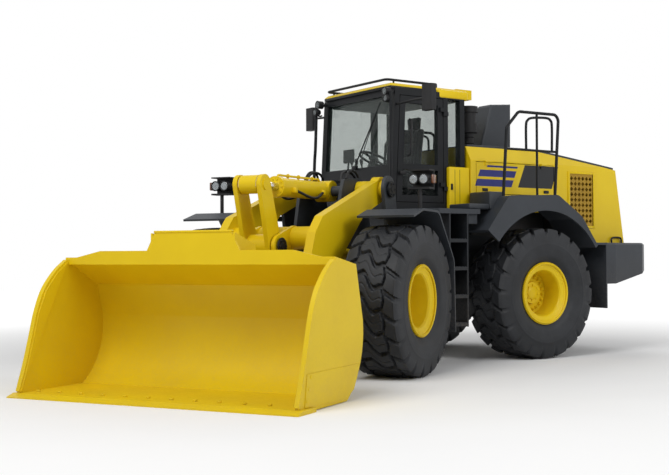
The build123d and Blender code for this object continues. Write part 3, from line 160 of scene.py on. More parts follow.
# profile (radius, height) turned about an axis through centre
def turned(profile, sides, centre=(0, 0, 0), axis=(0, 0, 1)):
    profile = np.asarray(profile, float)
    axis = np.asarray(axis, float) / np.linalg.norm(axis)
    helper = np.array([1.0, 0, 0]) if abs(axis[0]) < 0.8 else np.array([0, 1.0, 0])
    side = np.cross(axis, helper)
    side /= np.linalg.norm(side)
    over = np.cross(axis, side)
    a = np.arange(sides) * 2 * math.pi / sides
    around = np.cos(a)[:, None] * side + np.sin(a)[:, None] * over
    p = np.asarray(centre, float) + profile[:, None, :1] * around[None] + profile[:, None, 1:] * axis
    return p.reshape(-1, 3), tubeFaces(len(profile), sides)


# one small shape set at many centres, its z axis laid along each direction
def scattered(shape, centres, directions):
    centres = np.atleast_2d(np.asarray(centres, float))
    z = np.broadcast_to(np.asarray(directions, float), centres.shape)
    z = z / np.linalg.norm(z, axis=1)[:, None]
    helper = np.where(np.abs(z[:, :1]) < 0.8, [[1.0, 0, 0]], [[0, 1.0, 0]])
    x = np.cross(helper, z)
    x /= np.linalg.norm(x, axis=1)[:, None]
    y = np.cross(z, x)
    u, v, w = (shape[0][None, :, k:k + 1] for k in range(3))
    p = centres[:, None] + u * x[:, None] + v * y[:, None] + w * z[:, None]
    count = len(shape[0])
    faces = [[i + k * count for i in face] for k in range(len(centres)) for face in shape[1]]
    return p.reshape(-1, 3), faces


# hexagon head: two full rings, then a smaller one for the chamfer
def hexHead(r, height):
    return turned([(r, 0), (r, 0.75 * height), (0.86 * r, height)], 6)


# flat outline in two axes given a thickness between two levels of the third
def sheetOf(outline, low, high, axes=(0, 2, 1)):
    outline = np.asarray(outline, float)
    n = len(outline)
    p = np.zeros((2, n, 3))
    p[:, :, axes[0]] = outline[:, 0]
    p[:, :, axes[1]] = outline[:, 1]
    p[0, :, axes[2]] = low
    p[1, :, axes[2]] = high
    return p.reshape(-1, 3), tubeFaces(2, n)


# a new object in the scene
def linked(name, data):
    made = bpy.data.objects.new(name, data)
    scene.collection.objects.link(made)
    return made


def pointsOf(mesh):
    flat = np.zeros(3 * len(mesh.vertices))
    mesh.vertices.foreach_get("co", flat)
    return flat.reshape(-1, 3)


# mesh object on its body, turned with the front half where the body belongs to it;
# edges sharper than smooth degrees stay sharp, bevel rounds them
def makePiece(name, shape, finish, body="rear_frame", smooth=40, bevel=0.0):
    material, slot = finish
    mesh = bpy.data.meshes.new(name)
    mesh.from_pydata(shape[0] if body in rearBodies else frontHalf(shape[0]), [], shape[1])
    tidy = bmesh.new()
    tidy.from_mesh(mesh)
    bmesh.ops.remove_doubles(tidy, verts=tidy.verts, dist=1e-5)
    bmesh.ops.recalc_face_normals(tidy, faces=tidy.faces)
    tidy.to_mesh(mesh)
    tidy.free()
    mesh.materials.append(material)
    piece = linked(name, mesh)
    if bevel:
        soften = piece.modifiers.new("softEdge", "BEVEL")
        soften.width = bevel
        soften.segments = 2
        soften.limit_method = "ANGLE"
        soften.angle_limit = math.radians(35)
    mesh.polygons.foreach_set("use_smooth", [True] * len(mesh.polygons))
    mesh.set_sharp_from_angle(angle=math.radians(smooth))
    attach(piece, body)
    return piece


# shader value; arithmetic on it adds Math nodes
class Sock:
    def __init__(self, finish, socket):
        self.finish, self.socket = finish, socket

    def calc(self, operation, a, b):
        return self.finish.node("Math", {"operation": operation}, {0: a, 1: b})

    def __add__(self, other): return self.calc("ADD", self, other)
    def __sub__(self, other): return self.calc("SUBTRACT", self, other)
    def __rsub__(self, other): return self.calc("SUBTRACT", other, self)
    def __mul__(self, other): return self.calc("MULTIPLY", self, other)
    def __gt__(self, other): return self.calc("GREATER_THAN", self, other)
    def __lt__(self, other): return self.calc("LESS_THAN", self, other)


class Finish:
    def __init__(self, name, **fixed):
        self.material = bpy.data.materials.new(name)
        self.material.use_nodes = True
        self.tree = self.material.node_tree
        self.shader = self.tree.nodes["Principled BSDF"]
        self.coords = self.node("TexCoord", out="Object")
        for key, value in fixed.items():
            self.put(key, value)

    # any shader node: its type, its settings, then its sockets' values or links
    def node(self, kind, settings=None, inputs=None, out=0):
        made = self.tree.nodes.new("ShaderNode" + kind)
        for key, value in (settings or {}).items():
            setattr(made, key, value)
        for key, value in (inputs or {}).items():
            self.feed(made.inputs[key], value)
        return Sock(self, made.outputs[out])

    def feed(self, socket, value):
        if isinstance(value, Sock):
            self.tree.links.new(value.socket, socket)
        else:
            socket.default_value = value

    def put(self, name, value):
        if name == "Base Color" and not isinstance(value, Sock):
            value = (*value, 1)
        self.feed(self.shader.inputs[name], value)

    def noise(self, scale, detail=3, rough=0.55, at=None):
        vector = self.coords if at is None else at
        inputs = {"Vector": vector, "Scale": scale, "Detail": detail, "Roughness": rough}
        return self.node("TexNoise", None, inputs)

    def place(self):
        split = self.node("SeparateXYZ", None, {"Vector": self.coords})
        outs = split.socket.node.outputs
        return Sock(self, outs[0]), Sock(self, outs[1]), Sock(self, outs[2])

    # 0 below low, 1 above high, straight between
    def fade(self, value, low, high):
        return self.node("MapRange", None, {"Value": value, "From Min": low, "From Max": high})

    def blend(self, share, first, second):
        first = first if isinstance(first, Sock) else (*first, 1)
        second = second if isinstance(second, Sock) else (*second, 1)
        return self.node("Mix", {"data_type": "RGBA"}, {0: share, 6: first, 7: second}, out=2)

    def bump(self, height, distance, strength):
        made = self.node("Bump", None, {"Height": height, "Distance": distance, "Strength": strength})
        self.put("Normal", made)


colours = {
    "yellow": (0.75, 0.535, 0.005),
    "yellowDeep": (0.71, 0.495, 0.004),
    "charcoal": (0.026, 0.03, 0.036),
    "charcoalLight": (0.036, 0.041, 0.049),
    "black": (0.005, 0.006, 0.007),
    "blackLight": (0.009, 0.01, 0.012),
    "mesh": (0.42, 0.25, 0.016),
    "meshDeep": (0.34, 0.2, 0.014),
    "step": (0.011, 0.013, 0.016),
    "stepLight": (0.017, 0.019, 0.023),
    "stripeBlue": (0.018, 0.024, 0.16),
    "panelDark": (0.007, 0.008, 0.01),
    "dust": (0.33, 0.27, 0.2),
    "rust": (0.16, 0.07, 0.03),
}


# paint: colour drifts with broad noise, gathers dust low down, skin has a fine orange peel
def paint(name, colour, drift, rough, coat=0.0, dust=0.25, shine=0.3):
    f = Finish(name, **{"Coat Weight": coat, "Coat Roughness": 0.12, "Specular IOR Level": shine})
    broad = f.noise(scale=1.7, detail=4)
    speck = f.noise(scale=38, detail=5, rough=0.65)
    height = f.place()[2]
    low = (1 - f.fade(height, 0.05, 1.35)) * f.fade(speck + broad * 0.4, 0.55, 0.95) * dust
    tone = f.blend(f.fade(broad, 0.36, 0.68), colours[colour], colours[drift])
    f.put("Base Color", f.blend(low, tone, colours["dust"]))
    f.put("Roughness", f.fade(speck, 0.2, 0.9) * 0.14 + rough + low * 0.3)
    f.bump(f.noise(scale=420, detail=2), distance=0.00025, strength=0.5)
    return f


yellowPaint = paint("yellowPaint", "yellow", "yellowDeep", 0.36, coat=0.05, dust=0.12, shine=0.22).material
charcoalPaint = paint("charcoalPaint", "charcoal", "charcoalLight", 0.46, coat=0.03).material
blackPaint = paint("blackPaint", "black", "blackLight", 0.4, coat=0.02, dust=0.12, shine=0.16).material
meshYellow = paint("meshYellow", "mesh", "meshDeep", 0.45, dust=0.05).material
stepPaint = paint("stepPaint", "step", "stepLight", 0.48, shine=0.25).material
print("paints ready")

# hood paint: yellow, with slanted blue stripes and a dark panel on the sides
stripes = {
    "run": (-1.7, -1.062),
    "lower": (2.226, 2.318),
    "upper": (2.352, 2.44),
    "thin": (2.476, 2.502),
    "thinFront": -1.24,
    "slant": 0.42,  # run of the slanted ends per metre of height
    "slantZ": 2.3,  # height at which the ends are measured
    "sideY": 0.8,  # the hood's sides lie outside this
    "panel": (-2.44, -1.815),
    "panelZ": (2.226, 2.53),
}


# 1 between the limits, 0 elsewhere
def within(value, limits):
    return (value > limits[0]) * (value < limits[1])


def hoodPaint():
    f = paint("hoodPaint", "yellow", "yellowDeep", 0.3, coat=0.14, dust=0.05)
    x, y, z = f.place()
    base = f.shader.inputs["Base Color"].links[0].from_socket
    lean = x + (z - stripes["slantZ"]) * stripes["slant"]
    bands = within(z, stripes["lower"]) + within(z, stripes["upper"])
    bands = bands + within(z, stripes["thin"]) * (x < stripes["thinFront"])
    side = f.node("Math", {"operation": "ABSOLUTE"}, {0: y}) > stripes["sideY"]
    panel = within(lean, stripes["panel"]) * within(z, stripes["panelZ"])
    tone = f.blend(within(lean, stripes["run"]) * bands * side, Sock(f, base), colours["stripeBlue"])
    f.put("Base Color", f.blend(panel * side, tone, colours["panelDark"]))
    return f.material


# rubber: grey bloom in broad patches and a fine moulded grain
def rubber(name, colour, bloom, rough):
    f = Finish(name, **{"Specular IOR Level": 0.3})
    broad = f.noise(scale=3.1, detail=5, rough=0.6)
    grain = f.noise(scale=190, detail=3)
    f.put("Base Color", f.blend(f.fade(broad, 0.35, 0.75), colour, bloom))
    f.put("Roughness", f.fade(grain, 0.2, 0.8) * 0.2 + rough)
    f.bump(grain, distance=0.0006, strength=0.5)
    return f.material


# worn or machined steel: brushed streaks along one axis and a little rust in patches
def steel(name, colour, rough, rust=0.0, streak=(3, 60, 60)):
    f = Finish(name)
    stretched = f.node("Mapping", None, {"Vector": f.coords, "Scale": streak})
    brushed = f.noise(scale=9, detail=4, rough=0.7, at=stretched)
    patch = f.fade(f.noise(scale=6, detail=6, rough=0.7), 0.56, 0.74) * rust
    tone = f.blend(f.fade(brushed, 0.3, 0.7), colour, tuple(0.72 * c for c in colour))
    f.put("Base Color", f.blend(patch, tone, colours["rust"]))
    f.put("Roughness", f.fade(brushed, 0.25, 0.75) * 0.18 + rough + patch * 0.35)
    f.put("Metallic", 1 - patch * 0.8)
    f.bump(brushed, distance=0.0006, strength=0.4)
    return f.material


# moulded plastic: fine pebble grain and a faint tone drift
def plastic(name, colour, rough=0.5, grainSize=240):
    f = Finish(name, **{"Specular IOR Level": 0.25})
    grain = f.noise(scale=grainSize, detail=2)
    drift = f.noise(scale=5, detail=3)
    paler = tuple(1.5 * c + 0.004 for c in colour)
    f.put("Base Color", f.blend(f.fade(drift, 0.3, 0.75), colour, paler))
    f.put("Roughness", f.fade(grain, 0.25, 0.75) * 0.16 + rough)
    f.bump(grain, distance=0.0008, strength=0.5)
    return f.material


# window glass: mostly clear with a green cast, a mirror share that grows at flat angles, faint wiped dust
def windowGlass(name, tint, share):
    f = Finish(name, Roughness=0.03, **{"Base Color": (0.02, 0.03, 0.028), "IOR": 1.9})
    clear = f.node("BsdfTransparent", None, {"Color": (*tint, 1)})
    edge = f.node("LayerWeight", None, {"Blend": 0.25}, out="Fresnel")
    film = f.fade(f.noise(scale=14, detail=5, rough=0.65), 0.5, 0.8) * 0.05
    mirror = Sock(f, f.shader.outputs[0])
    mixed = f.node("MixShader", None, {0: edge * 0.55 + film + share, 1: clear, 2: mirror})
    f.feed(f.tree.nodes["Material Output"].inputs["Surface"], mixed)
    return f.material


# woven cloth: a wave set along each axis, crossed, over a heathered tone; about pitch / 2 threads to a metre
def cloth(name, colour, light, pitch=420):
    f = Finish(name, **{"Sheen Weight": 0.25})
    thread = {"Vector": f.coords, "Scale": pitch / 6.3, "Distortion": 0.6}
    warp, weft, across = (f.node("TexWave", {"bands_direction": axis}, thread) for axis in "XZY")
    weave = (warp + weft + across) * 0.33
    heather = f.fade(weave + f.noise(scale=30, detail=3) * 0.4, 0.45, 1.0)
    f.put("Base Color", f.blend(heather, colour, light))
    f.put("Roughness", weave * 0.12 + 0.8)
    f.bump(weave, distance=0.0012, strength=0.6)
    return f.material


# coloured lens: moulded ribs, dark in the valleys
def lens(name, tone):
    f = Finish(name, **{"Coat Weight": 0.6, "Coat Roughness": 0.05})
    wave = {"Vector": f.coords, "Scale": 30.0, "Distortion": 0.2}
    ribs = f.node("TexWave", {"bands_direction": "Z"}, wave)
    f.put("Base Color", f.blend(f.fade(ribs, 0.2, 0.8), tone, tuple(0.6 * c for c in tone)))
    f.put("Roughness", ribs * 0.1 + 0.18)
    f.bump(ribs, distance=0.002, strength=0.5)
    return f.material


hoodYellow = hoodPaint()
tyreRubber = rubber("tyreRubber", (0.011, 0.012, 0.014), (0.023, 0.025, 0.029), 0.44)
hoseRubber = rubber("hoseRubber", (0.008, 0.008, 0.008), (0.014, 0.014, 0.015), 0.42)
chromeRod = steel("chromeRod", (0.8, 0.8, 0.82), 0.1, streak=(1, 1, 1))
pinSteel = steel("pinSteel", (0.42, 0.42, 0.43), 0.34, rust=0.15)
bowlChrome = steel("bowlChrome", (0.5, 0.51, 0.53), 0.16, streak=(1, 1, 1))
engineIron = steel("engineIron", (0.1, 0.1, 0.1), 0.55, rust=0.2)
blackPlastic = plastic("blackPlastic", (0.008, 0.008, 0.009))
trimPlastic = plastic("trimPlastic", (0.03, 0.031, 0.033), 0.58, 160)
redLens = lens("redLens", (0.42, 0.012, 0.01))
amberLens = lens("amberLens", (0.16, 0.045, 0.009))
cabGlass = windowGlass("cabGlass", (0.97, 0.99, 0.98), 0.02)
lensGlass = windowGlass("lensGlass", (0.97, 0.98, 0.98), 0.08)
seatCloth = cloth("seatCloth", (0.02, 0.02, 0.022), (0.05, 0.05, 0.054))
seatSide = cloth("seatSide", (0.012, 0.012, 0.013), (0.028, 0.028, 0.03), 560)

# finish and slot shared by several of the scene's own pieces
yellow = (yellowPaint, "yellow_paint")
charcoal = (charcoalPaint, "charcoal_paint")
black = (blackPaint, "black_paint")
moulded = (blackPlastic, "black_plastic")
clear = (lensGlass, "cab_glass")

wheels = [f"{end}_{word}" for end, x in wheelEnds for word, side in bothSides]
finishes = [
    (hoodYellow, ["hood", "hood_door_left", "hood_door_right"]),
    (yellowPaint, [
        "boom", "tilt_lever", "bucket_link", "bucket", "cutting_edge", "lift_barrels", "tilt_barrel", "roof",
        *[f"rim_{wheel}" for wheel in wheels],
    ]),
    (charcoalPaint, [
        "front_frame", "front_axle", "rear_axle", "front_fenders", "rear_frame", "deck", "rear_fenders",
        "counterweight", "steer_barrel_left", "steer_barrel_right", "exhaust_stack", "hood_cover",
    ]),
    (blackPaint, ["cab", "cab_door", "roof_rail", "handrails", "rear_grille", "seat_base"]),
    (stepPaint, ["steps", "side_boxes"]),
    (meshYellow, ["side_grilles"]),
    (engineIron, ["engine_block"]),
    (tyreRubber, [f"tyre_{wheel}" for wheel in wheels]),
    (chromeRod, ["lift_rods", "tilt_rod", "steer_rod_left", "steer_rod_right"]),
    (pinSteel, ["lever_pin", "link_pin", "bucket_pins"]),
    (cabGlass, ["cab_glass", "door_glass"]),
    (blackPlastic, ["head_lamps", "mirrors", "pre_cleaner", "work_lamps", "steering_column"]),
    (seatCloth, ["seat"]),
    (redLens, ["tail_lamps"]),
]
for finish, names in finishes:
    for name in names:
        nodes[name].data.materials.clear()
        nodes[name].data.materials.append(finish)
print("finishes laid on", sum(len(names) for finish, names in finishes), "solids")

# tyre: profile turned about the axle; on the tread the radius rises by a block pattern of the angle and the width
tyre = {
    "outer": 0.838,
    "treadHalf": 0.29,
    "crownDrop": 0.012,
    "shoulder": [(0.302, 0.786), (0.312, 0.766), (0.321, 0.742), (0.328, 0.714), (0.334, 0.684)],  # (y, radius)
    "wall": [(0.3, 0.338, 0.655), (0.55, 0.34, 0.6), (0.8, 0.318, 0.475), (1.0, 0.274, 0.404)],  # (share, y, radius)
    "wallSteps": 14,
    "bore": (0.262, 0.364),
    "ribsR": (0.632, 0.452),  # raised rings on the wall
    "ribHeight": 0.005,
    "ribHalf": 0.008,
    "lugDepth": 0.042,
    "blocks": 21,  # pitches round the tread
    "steps": 30,  # grid steps to one pitch
    "acrossSteps": 78,
    "centreHalf": 0.178,  # half width of the middle row of blocks
    "grooveHalf": 0.015,
    "shoulderGroove": 0.021,
    "ringGroove": 0.008,
    "flank": 0.008,  # run of a block's side from groove to top
    "slant": (1.05, 0.36),  # middle grooves: pitches round, over a width
    "swing": (0.17, 0.215),  # and their swing in pitches, with its length
    "slantShare": 0.72,  # distance across a slanted groove per metre round
    "shoulderSlant": (0.35, 0.13),
    "rowSwing": 0.012,  # sideways swing of the ring grooves
    "sipeDepth": 0.22,  # share of the lug depth
    "sipeHalf": 0.006,
    "lugEndY": 0.345,
    "lugFoot": (0.69, 0.75),  # lugs fade in between these radii
    "spread": 0.006,
}


def smooth(value, low, high):
    t = np.clip((value - low) / (high - low), 0, 1)
    return t * t * (3 - 2 * t)


# distance in metres to the nearest groove of a set that repeats every pitch
def grooveGap(phase, pitchLength):
    return np.abs((phase + 0.5) % 1.0 - 0.5) * pitchLength


def tyreShape(centre, side):
    t = tyre
    w = np.linspace(-1, 1, t["acrossSteps"]) * t["treadHalf"]
    treadR = t["outer"] - t["lugDepth"] - t["crownDrop"] * np.abs(w / t["treadHalf"]) ** 3
    shoulderY, shoulderR = np.array(t["shoulder"]).T
    share, wallY, wallR = np.array(t["wall"]).T
    down = np.linspace(share[0], share[-1], t["wallSteps"])
    wallY, wallR = np.interp(down, share, wallY), np.interp(down, share, wallR)
    for ribR in t["ribsR"]:
        wallY = wallY + t["ribHeight"] * np.exp(-((wallR - ribR) / t["ribHalf"]) ** 2)
    halfY = np.concatenate([shoulderY, wallY, t["bore"][:1]])
    halfR = np.concatenate([shoulderR, wallR, t["bore"][1:]])
    y = np.concatenate([-halfY[::-1], w, halfY])
    r = np.concatenate([halfR[::-1], treadR, halfR])
    offY = np.abs(y)
    a = np.linspace(0, 2 * math.pi, t["blocks"] * t["steps"], endpoint=False)[:, None]
    pitch = 2 * math.pi * t["outer"] / t["blocks"]
    turns = a * t["blocks"] / (2 * math.pi)
    wave = t["slant"][0] * y / t["slant"][1] + t["swing"][0] * np.sin(2 * math.pi * y / t["swing"][1])
    centreGap = grooveGap(turns + wave, pitch) * t["slantShare"]
    ends = np.where(y > 0, 0.46, 0.04) + t["shoulderSlant"][0] * (offY - t["centreHalf"]) / t["shoulderSlant"][1]
    shoulderGap = grooveGap(turns + ends, pitch)
    rowEdge = t["centreHalf"] + t["rowSwing"] * np.sin(2 * math.pi * turns + np.where(y > 0, 0.6, 3.4))
    ringGap = np.abs(offY - rowEdge)
    inMiddle = smooth(rowEdge - offY, -0.004, 0.004)
    gap = inMiddle * (centreGap - t["grooveHalf"]) + (1 - inMiddle) * (shoulderGap - t["shoulderGroove"])
    lug = smooth(np.minimum(gap, ringGap - t["ringGroove"]), 0.0, t["flank"])
    sipeGap = grooveGap(turns + wave + 0.5, pitch)
    sipe = 1 - t["sipeDepth"] * smooth(t["sipeHalf"] - sipeGap, 0, 0.004) * inMiddle
    foot = smooth(r, *t["lugFoot"])
    lift = t["lugDepth"] * lug * sipe * (smooth(t["lugEndY"] - offY, 0.004, 0.03) * foot)
    crown = 1 - t["crownDrop"] * (offY / t["treadHalf"]) ** 4
    radius = np.minimum(r + lift * crown, t["outer"])
    spread = y + np.sign(y) * t["spread"] * lug * smooth(offY, 0.29, 0.32) * foot
    flat = np.stack([radius * np.cos(a), side * spread + 0 * a, radius * np.sin(a)], -1)
    return (flat + centre).reshape(-1, 3), gridFaces(len(a), len(y), True, True)


for end, x in wheelEnds:
    for word, side in bothSides:
        shape = tyreShape((x, side * machine["wheelY"], machine["axleZ"]), side)
        tread = makePiece(f"tread_{end}_{word}", shape, (tyreRubber, "tyre_rubber"), f"wheel_{end}_{word}", smooth=60)
        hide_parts(f"tyre_{end}_{word}")
print("tyres made")


# a closed loop of (radius, height) carried round an axis
def hoop(loop, sides, centre, axis):
    return turned(loop, sides, centre, axis)[0], gridFaces(len(loop), sides, True, True)


# round bar along an eased line
def bar(points, r, sides=10, perSpan=6):
    return carried(easedLine(points, perSpan), ring(r, sides), up=(0.31, 0.53, 0.17))


# square-edged strip along an eased line that keeps near one y; thick is measured along y
def strip(points, width, thick):
    section = np.array([(-0.5, -0.5), (0.5, -0.5), (0.5, 0.5), (-0.5, 0.5)]) * (width, thick)
    return carried(easedLine(points, 6), section, up=(0, 1, 0))


# wheel nuts with their studs, hub bolts and cap, lock and bead rings of each rim
wheelFittings = {
    "nuts": 20,
    "nutCircle": 0.222,
    "nutR": 0.02,
    "nutHeight": 0.026,
    "studR": 0.012,
    "studHeight": 0.014,
    "discY": -0.02,
    "bolts": 8,
    "boltCircle": 0.098,
    "boltR": 0.013,
    "boltHeight": 0.012,
    "hubY": 0.04,
    "lock": (0.38, 0.29),  # (radius, y)
    "lockBar": 0.011,
    "bead": (0.352, 0.262),
    "beadBar": 0.009,
    "hubCap": [(0.086, 0.038), (0.086, 0.05), (0.074, 0.058), (0.03, 0.062)],
}


def wheelFittingShape(x, side):
    w = wheelFittings
    hub = np.array([x, side * machine["wheelY"], machine["axleZ"]])
    out = np.array([0.0, side, 0.0])

    def circleOf(count, r, y):
        a = np.arange(count) * 2 * math.pi / count + 0.1
        return hub + np.stack([r * np.cos(a), np.full(count, side * y), r * np.sin(a)], -1)

    nuts = circleOf(w["nuts"], w["nutCircle"], w["discY"])
    studs = circleOf(w["nuts"], w["nutCircle"], w["discY"] + w["nutHeight"] - 0.001)
    return weld(
        scattered(hexHead(w["nutR"], w["nutHeight"]), nuts, out),
        scattered(hexHead(w["studR"], w["studHeight"]), studs, out),
        scattered(hexHead(w["boltR"], w["boltHeight"]), circleOf(w["bolts"], w["boltCircle"], w["hubY"]), out),
        hoop(ring(w["lockBar"], 10) + w["lock"], 72, hub, out),
        hoop(ring(w["beadBar"], 8) + w["bead"], 72, hub, out),
        turned(w["hubCap"], 40, hub, out),
    )


for end, x in wheelEnds:
    for word, side in bothSides:
        shape = wheelFittingShape(x, side)
        makePiece(f"fittings_{end}_{word}", shape, yellow, f"wheel_{end}_{word}")
print("wheel fittings made")

# bucket: bolted edge, side cutters, heel plates, the sloped plate under the lip and a bar on the guard
bucketTrim = {
    "boltX": 4.535,
    "boltZ": 0.04,
    "boltHalf": 1.42,
    "bolts": 12,
    "sideY": 1.522,
    "cutter": [
        (4.69, 0.05), (4.6, 0.3), (4.52, 0.56), (4.449, 0.8), (4.349, 1.01), (4.19, 1.18), (4.03, 1.29),
    ],
    "cutterSize": (0.05, 0.046),
    "sideBoltsZ": (0.1, 0.2, 0.3),
    "sideBoltsX": (4.6, -0.36),  # at the ground, and per metre up
    "sideBoltsY": 1.54,
    "innerY": (1.493, 1.507),
    "heel": [(4.6, 0.045), (4.56, 0.33), (3.54, 0.33), (3.58, 0.22), (3.66, 0.1), (3.8, 0.03)],
    "heelY": (1.536, 1.548),
    "topPlate": [(4.003, 1.282), (3.572, 1.05), (3.566, 1.062), (3.996, 1.295)],
    "topHalf": 1.505,
    "guard": ((3.974, -0.446, 1.566), (4.026, 0.446, 1.59)),
}
b = bucketTrim
across = np.linspace(-b["boltHalf"], b["boltHalf"], b["bolts"])
boltRow = np.stack([np.full(b["bolts"], b["boltX"]), across, np.full(b["bolts"], b["boltZ"])], -1)
cutterLine = [(x, b["sideY"], z) for x, z in b["cutter"]]
sideBolts = [(b["sideBoltsX"][0] + b["sideBoltsX"][1] * z, b["sideBoltsY"], z) for z in b["sideBoltsZ"]]
shape = weld(
    scattered(hexHead(0.022, 0.016), boltRow, (0, 0, 1)),
    mirrored(strip(cutterLine, *b["cutterSize"])),
    mirrored(scattered(hexHead(0.02, 0.014), sideBolts, (0, 1, 0))),
    mirrored(sheetOf(b["cutter"], *b["innerY"])),
    mirrored(sheetOf(b["heel"], *b["heelY"])),
    sheetOf(b["topPlate"], -b["topHalf"], b["topHalf"]),
    block(*b["guard"], 0.008),
)
makePiece("bucketTrim", shape, yellow, "bucket", bevel=0.003)
print("bucket trim made")

# pin caps: flange with bolts on each pin end, as (pin, y, radius)
pinCaps = {
    "front_frame": [("boomPivot", 0.735, 0.1), ("liftBase", 0.735, 0.095)],
    "boom": [("leverPivot", 0.245, 0.092)],
    "bucket": [("bucketPin", 0.675, 0.08)],
}
capProfile = [(1.0, 0), (1.0, 0.01), (0.93, 0.016), (0.4, 0.016), (0.36, 0.022), (0.1, 0.022)]  # (share of r, height)


def capShape(pin, y, r):
    x, z = machine[pin]
    a = np.arange(6) * math.pi / 3
    centres = np.stack([x + 0.72 * r * np.cos(a), np.full(6, y + 0.014), z + 0.72 * r * np.sin(a)], -1)
    return mirrored(weld(
        turned(np.array(capProfile) * (r, 1), 36, (x, y, z), (0, 1, 0)),
        scattered(hexHead(0.011, 0.012), centres, (0, 1, 0)),
    ))


for body, caps in pinCaps.items():
    shape = weld(*[capShape(*cap) for cap in caps])
    makePiece(f"pinCaps_{body}", shape, black, body)
print("pin caps made")

# cylinder glands: bolted ring at the mouth of each barrel, and a steel pipe laid along it
glands = {
    "tilt_barrel": {
        "base": "tiltBase", "aim": "leverTop", "length": 1.19, "r": 0.105, "y": (0.0,), "rise": 1, "lip": 0.008,
    },
    "lift_barrels": {
        "base": "liftBase", "aim": "liftEye", "length": 1.15, "r": 0.09, "y": (-0.405, 0.405),
        "rise": -1, "lip": 0.016,
    },
}
pipe = {"r": 0.013, "stand": 0.026, "sink": 0.01, "straps": (0.34, 0.66, 0.9)}


def glandShape(g, y):
    base, aim = (np.array([machine[g[key]][0], y, machine[g[key]][1]]) for key in ("base", "aim"))
    along = (aim - base) / np.linalg.norm(aim - base)
    up = g["rise"] * np.array([-along[2], 0, along[0]])
    mouth = base + g["length"] * along
    a = np.arange(10) * 2 * math.pi / 10
    bolts = mouth + 0.84 * g["r"] * (np.cos(a)[:, None] * np.array([0, 1.0, 0]) + np.sin(a)[:, None] * up)
    inner, lip = g["r"] - 0.004, g["r"] + g["lip"]
    loop = [(inner, -0.1), (lip - 0.002, -0.1), (lip, -0.094), (lip, -0.016), (lip - 0.006, -0.008), (inner, -0.008)]
    high, low = g["r"] + pipe["stand"], g["r"] - pipe["sink"]
    end = g["length"]
    start = [(0.16, low), (0.18, high), (0.3, high), (0.62, high)]
    finish = [(end - 0.2, high), (end - 0.08, high), (end - 0.055, low)]
    line = [base + d * along + h * up for d, h in start + finish]
    straps = [hoop(ring(0.006, 6) + (0.02, 0.0), 16, base + d * along + high * up, along) for d in pipe["straps"]]
    return weld(
        hoop(loop, 48, mouth, along),
        scattered(hexHead(0.012, 0.01), bolts, along),
        bar(line, pipe["r"], 10, 5),
        *straps,
    )


for body, g in glands.items():
    shape = weld(*[glandShape(g, y) for y in g["y"]])
    makePiece(f"gland_{body}", shape, yellow, body)
print("cylinder glands made")

# lamps: bright bowl, clear dome and a bezel on each round lamp, profiles as (share of r, height)
lamps = {
    "head": {"faceX": 1.53, "y": (1.25, 1.374), "z": 2.19, "r": 0.058, "body": "front_frame"},
    "roof": {"faceX": 0.3235, "y": (0.76,), "z": 3.35, "r": 0.052, "body": "rear_frame"},
    "pillar": {"faceX": 0.34, "y": (0.8,), "z": 3.255, "r": 0.044, "body": "rear_frame"},
}
lampForms = {
    "bowl": [(0.9, 0.001), (0.55, 0.0035), (0.3, 0.003), (0.1, 0.006)],
    "dome": [(0.9, 0.006), (0.7, 0.012), (0.4, 0.016), (0.08, 0.017)],
    "bezel": (0.95, 0.004),
    "bezelBar": 0.007,
    "amber": ((1.41, 1.452, 2.14), (1.5, 1.483, 2.24)),
    "can": [(0.016, -0.08), (0.034, -0.072), (0.047, -0.04), (0.049, -0.002), (0.046, 0.002), (0.04, 0.0)],
    "canArm": [(0.235, 0.79, 3.215), (0.262, 0.796, 3.205), (0.29, 0.8, 3.212), (0.3, 0.8, 3.24)],
}
ahead = (1, 0, 0)


def lampParts(lamp):
    size = (lamp["r"], 1)
    centres = [(lamp["faceX"], y, lamp["z"]) for y in lamp["y"]]
    bowl, dome = (
        [turned(np.array(lampForms[key]) * size, 32, c, ahead) for c in centres] for key in ("bowl", "dome")
    )
    bezelLoop = ring(lampForms["bezelBar"], 8) + np.array(lampForms["bezel"]) * size
    bezel = [hoop(bezelLoop, 40, c, ahead) for c in centres]
    return [mirrored(weld(*group)) for group in (bowl, dome, bezel)]


for word, lamp in lamps.items():
    bowl, dome, bezel = lampParts(lamp)
    makePiece(f"{word}Bowls", bowl, (bowlChrome, "chrome_rod"), lamp["body"])
    makePiece(f"{word}Domes", dome, clear, lamp["body"])
    makePiece(f"{word}Bezels", bezel, moulded, lamp["body"])
amberBlocks = mirrored(block(*lampForms["amber"], 0.012))
makePiece("indicators", amberBlocks, (amberLens, "red_lens"), "front_frame")
spot = lamps["pillar"]
can = turned(lampForms["can"], 32, (spot["faceX"], spot["y"][0], spot["z"]), ahead)
arm = bar(lampForms["canArm"], 0.011)
makePiece("pillarSpots", mirrored(weld(can, arm)), moulded)
print("lamps made")

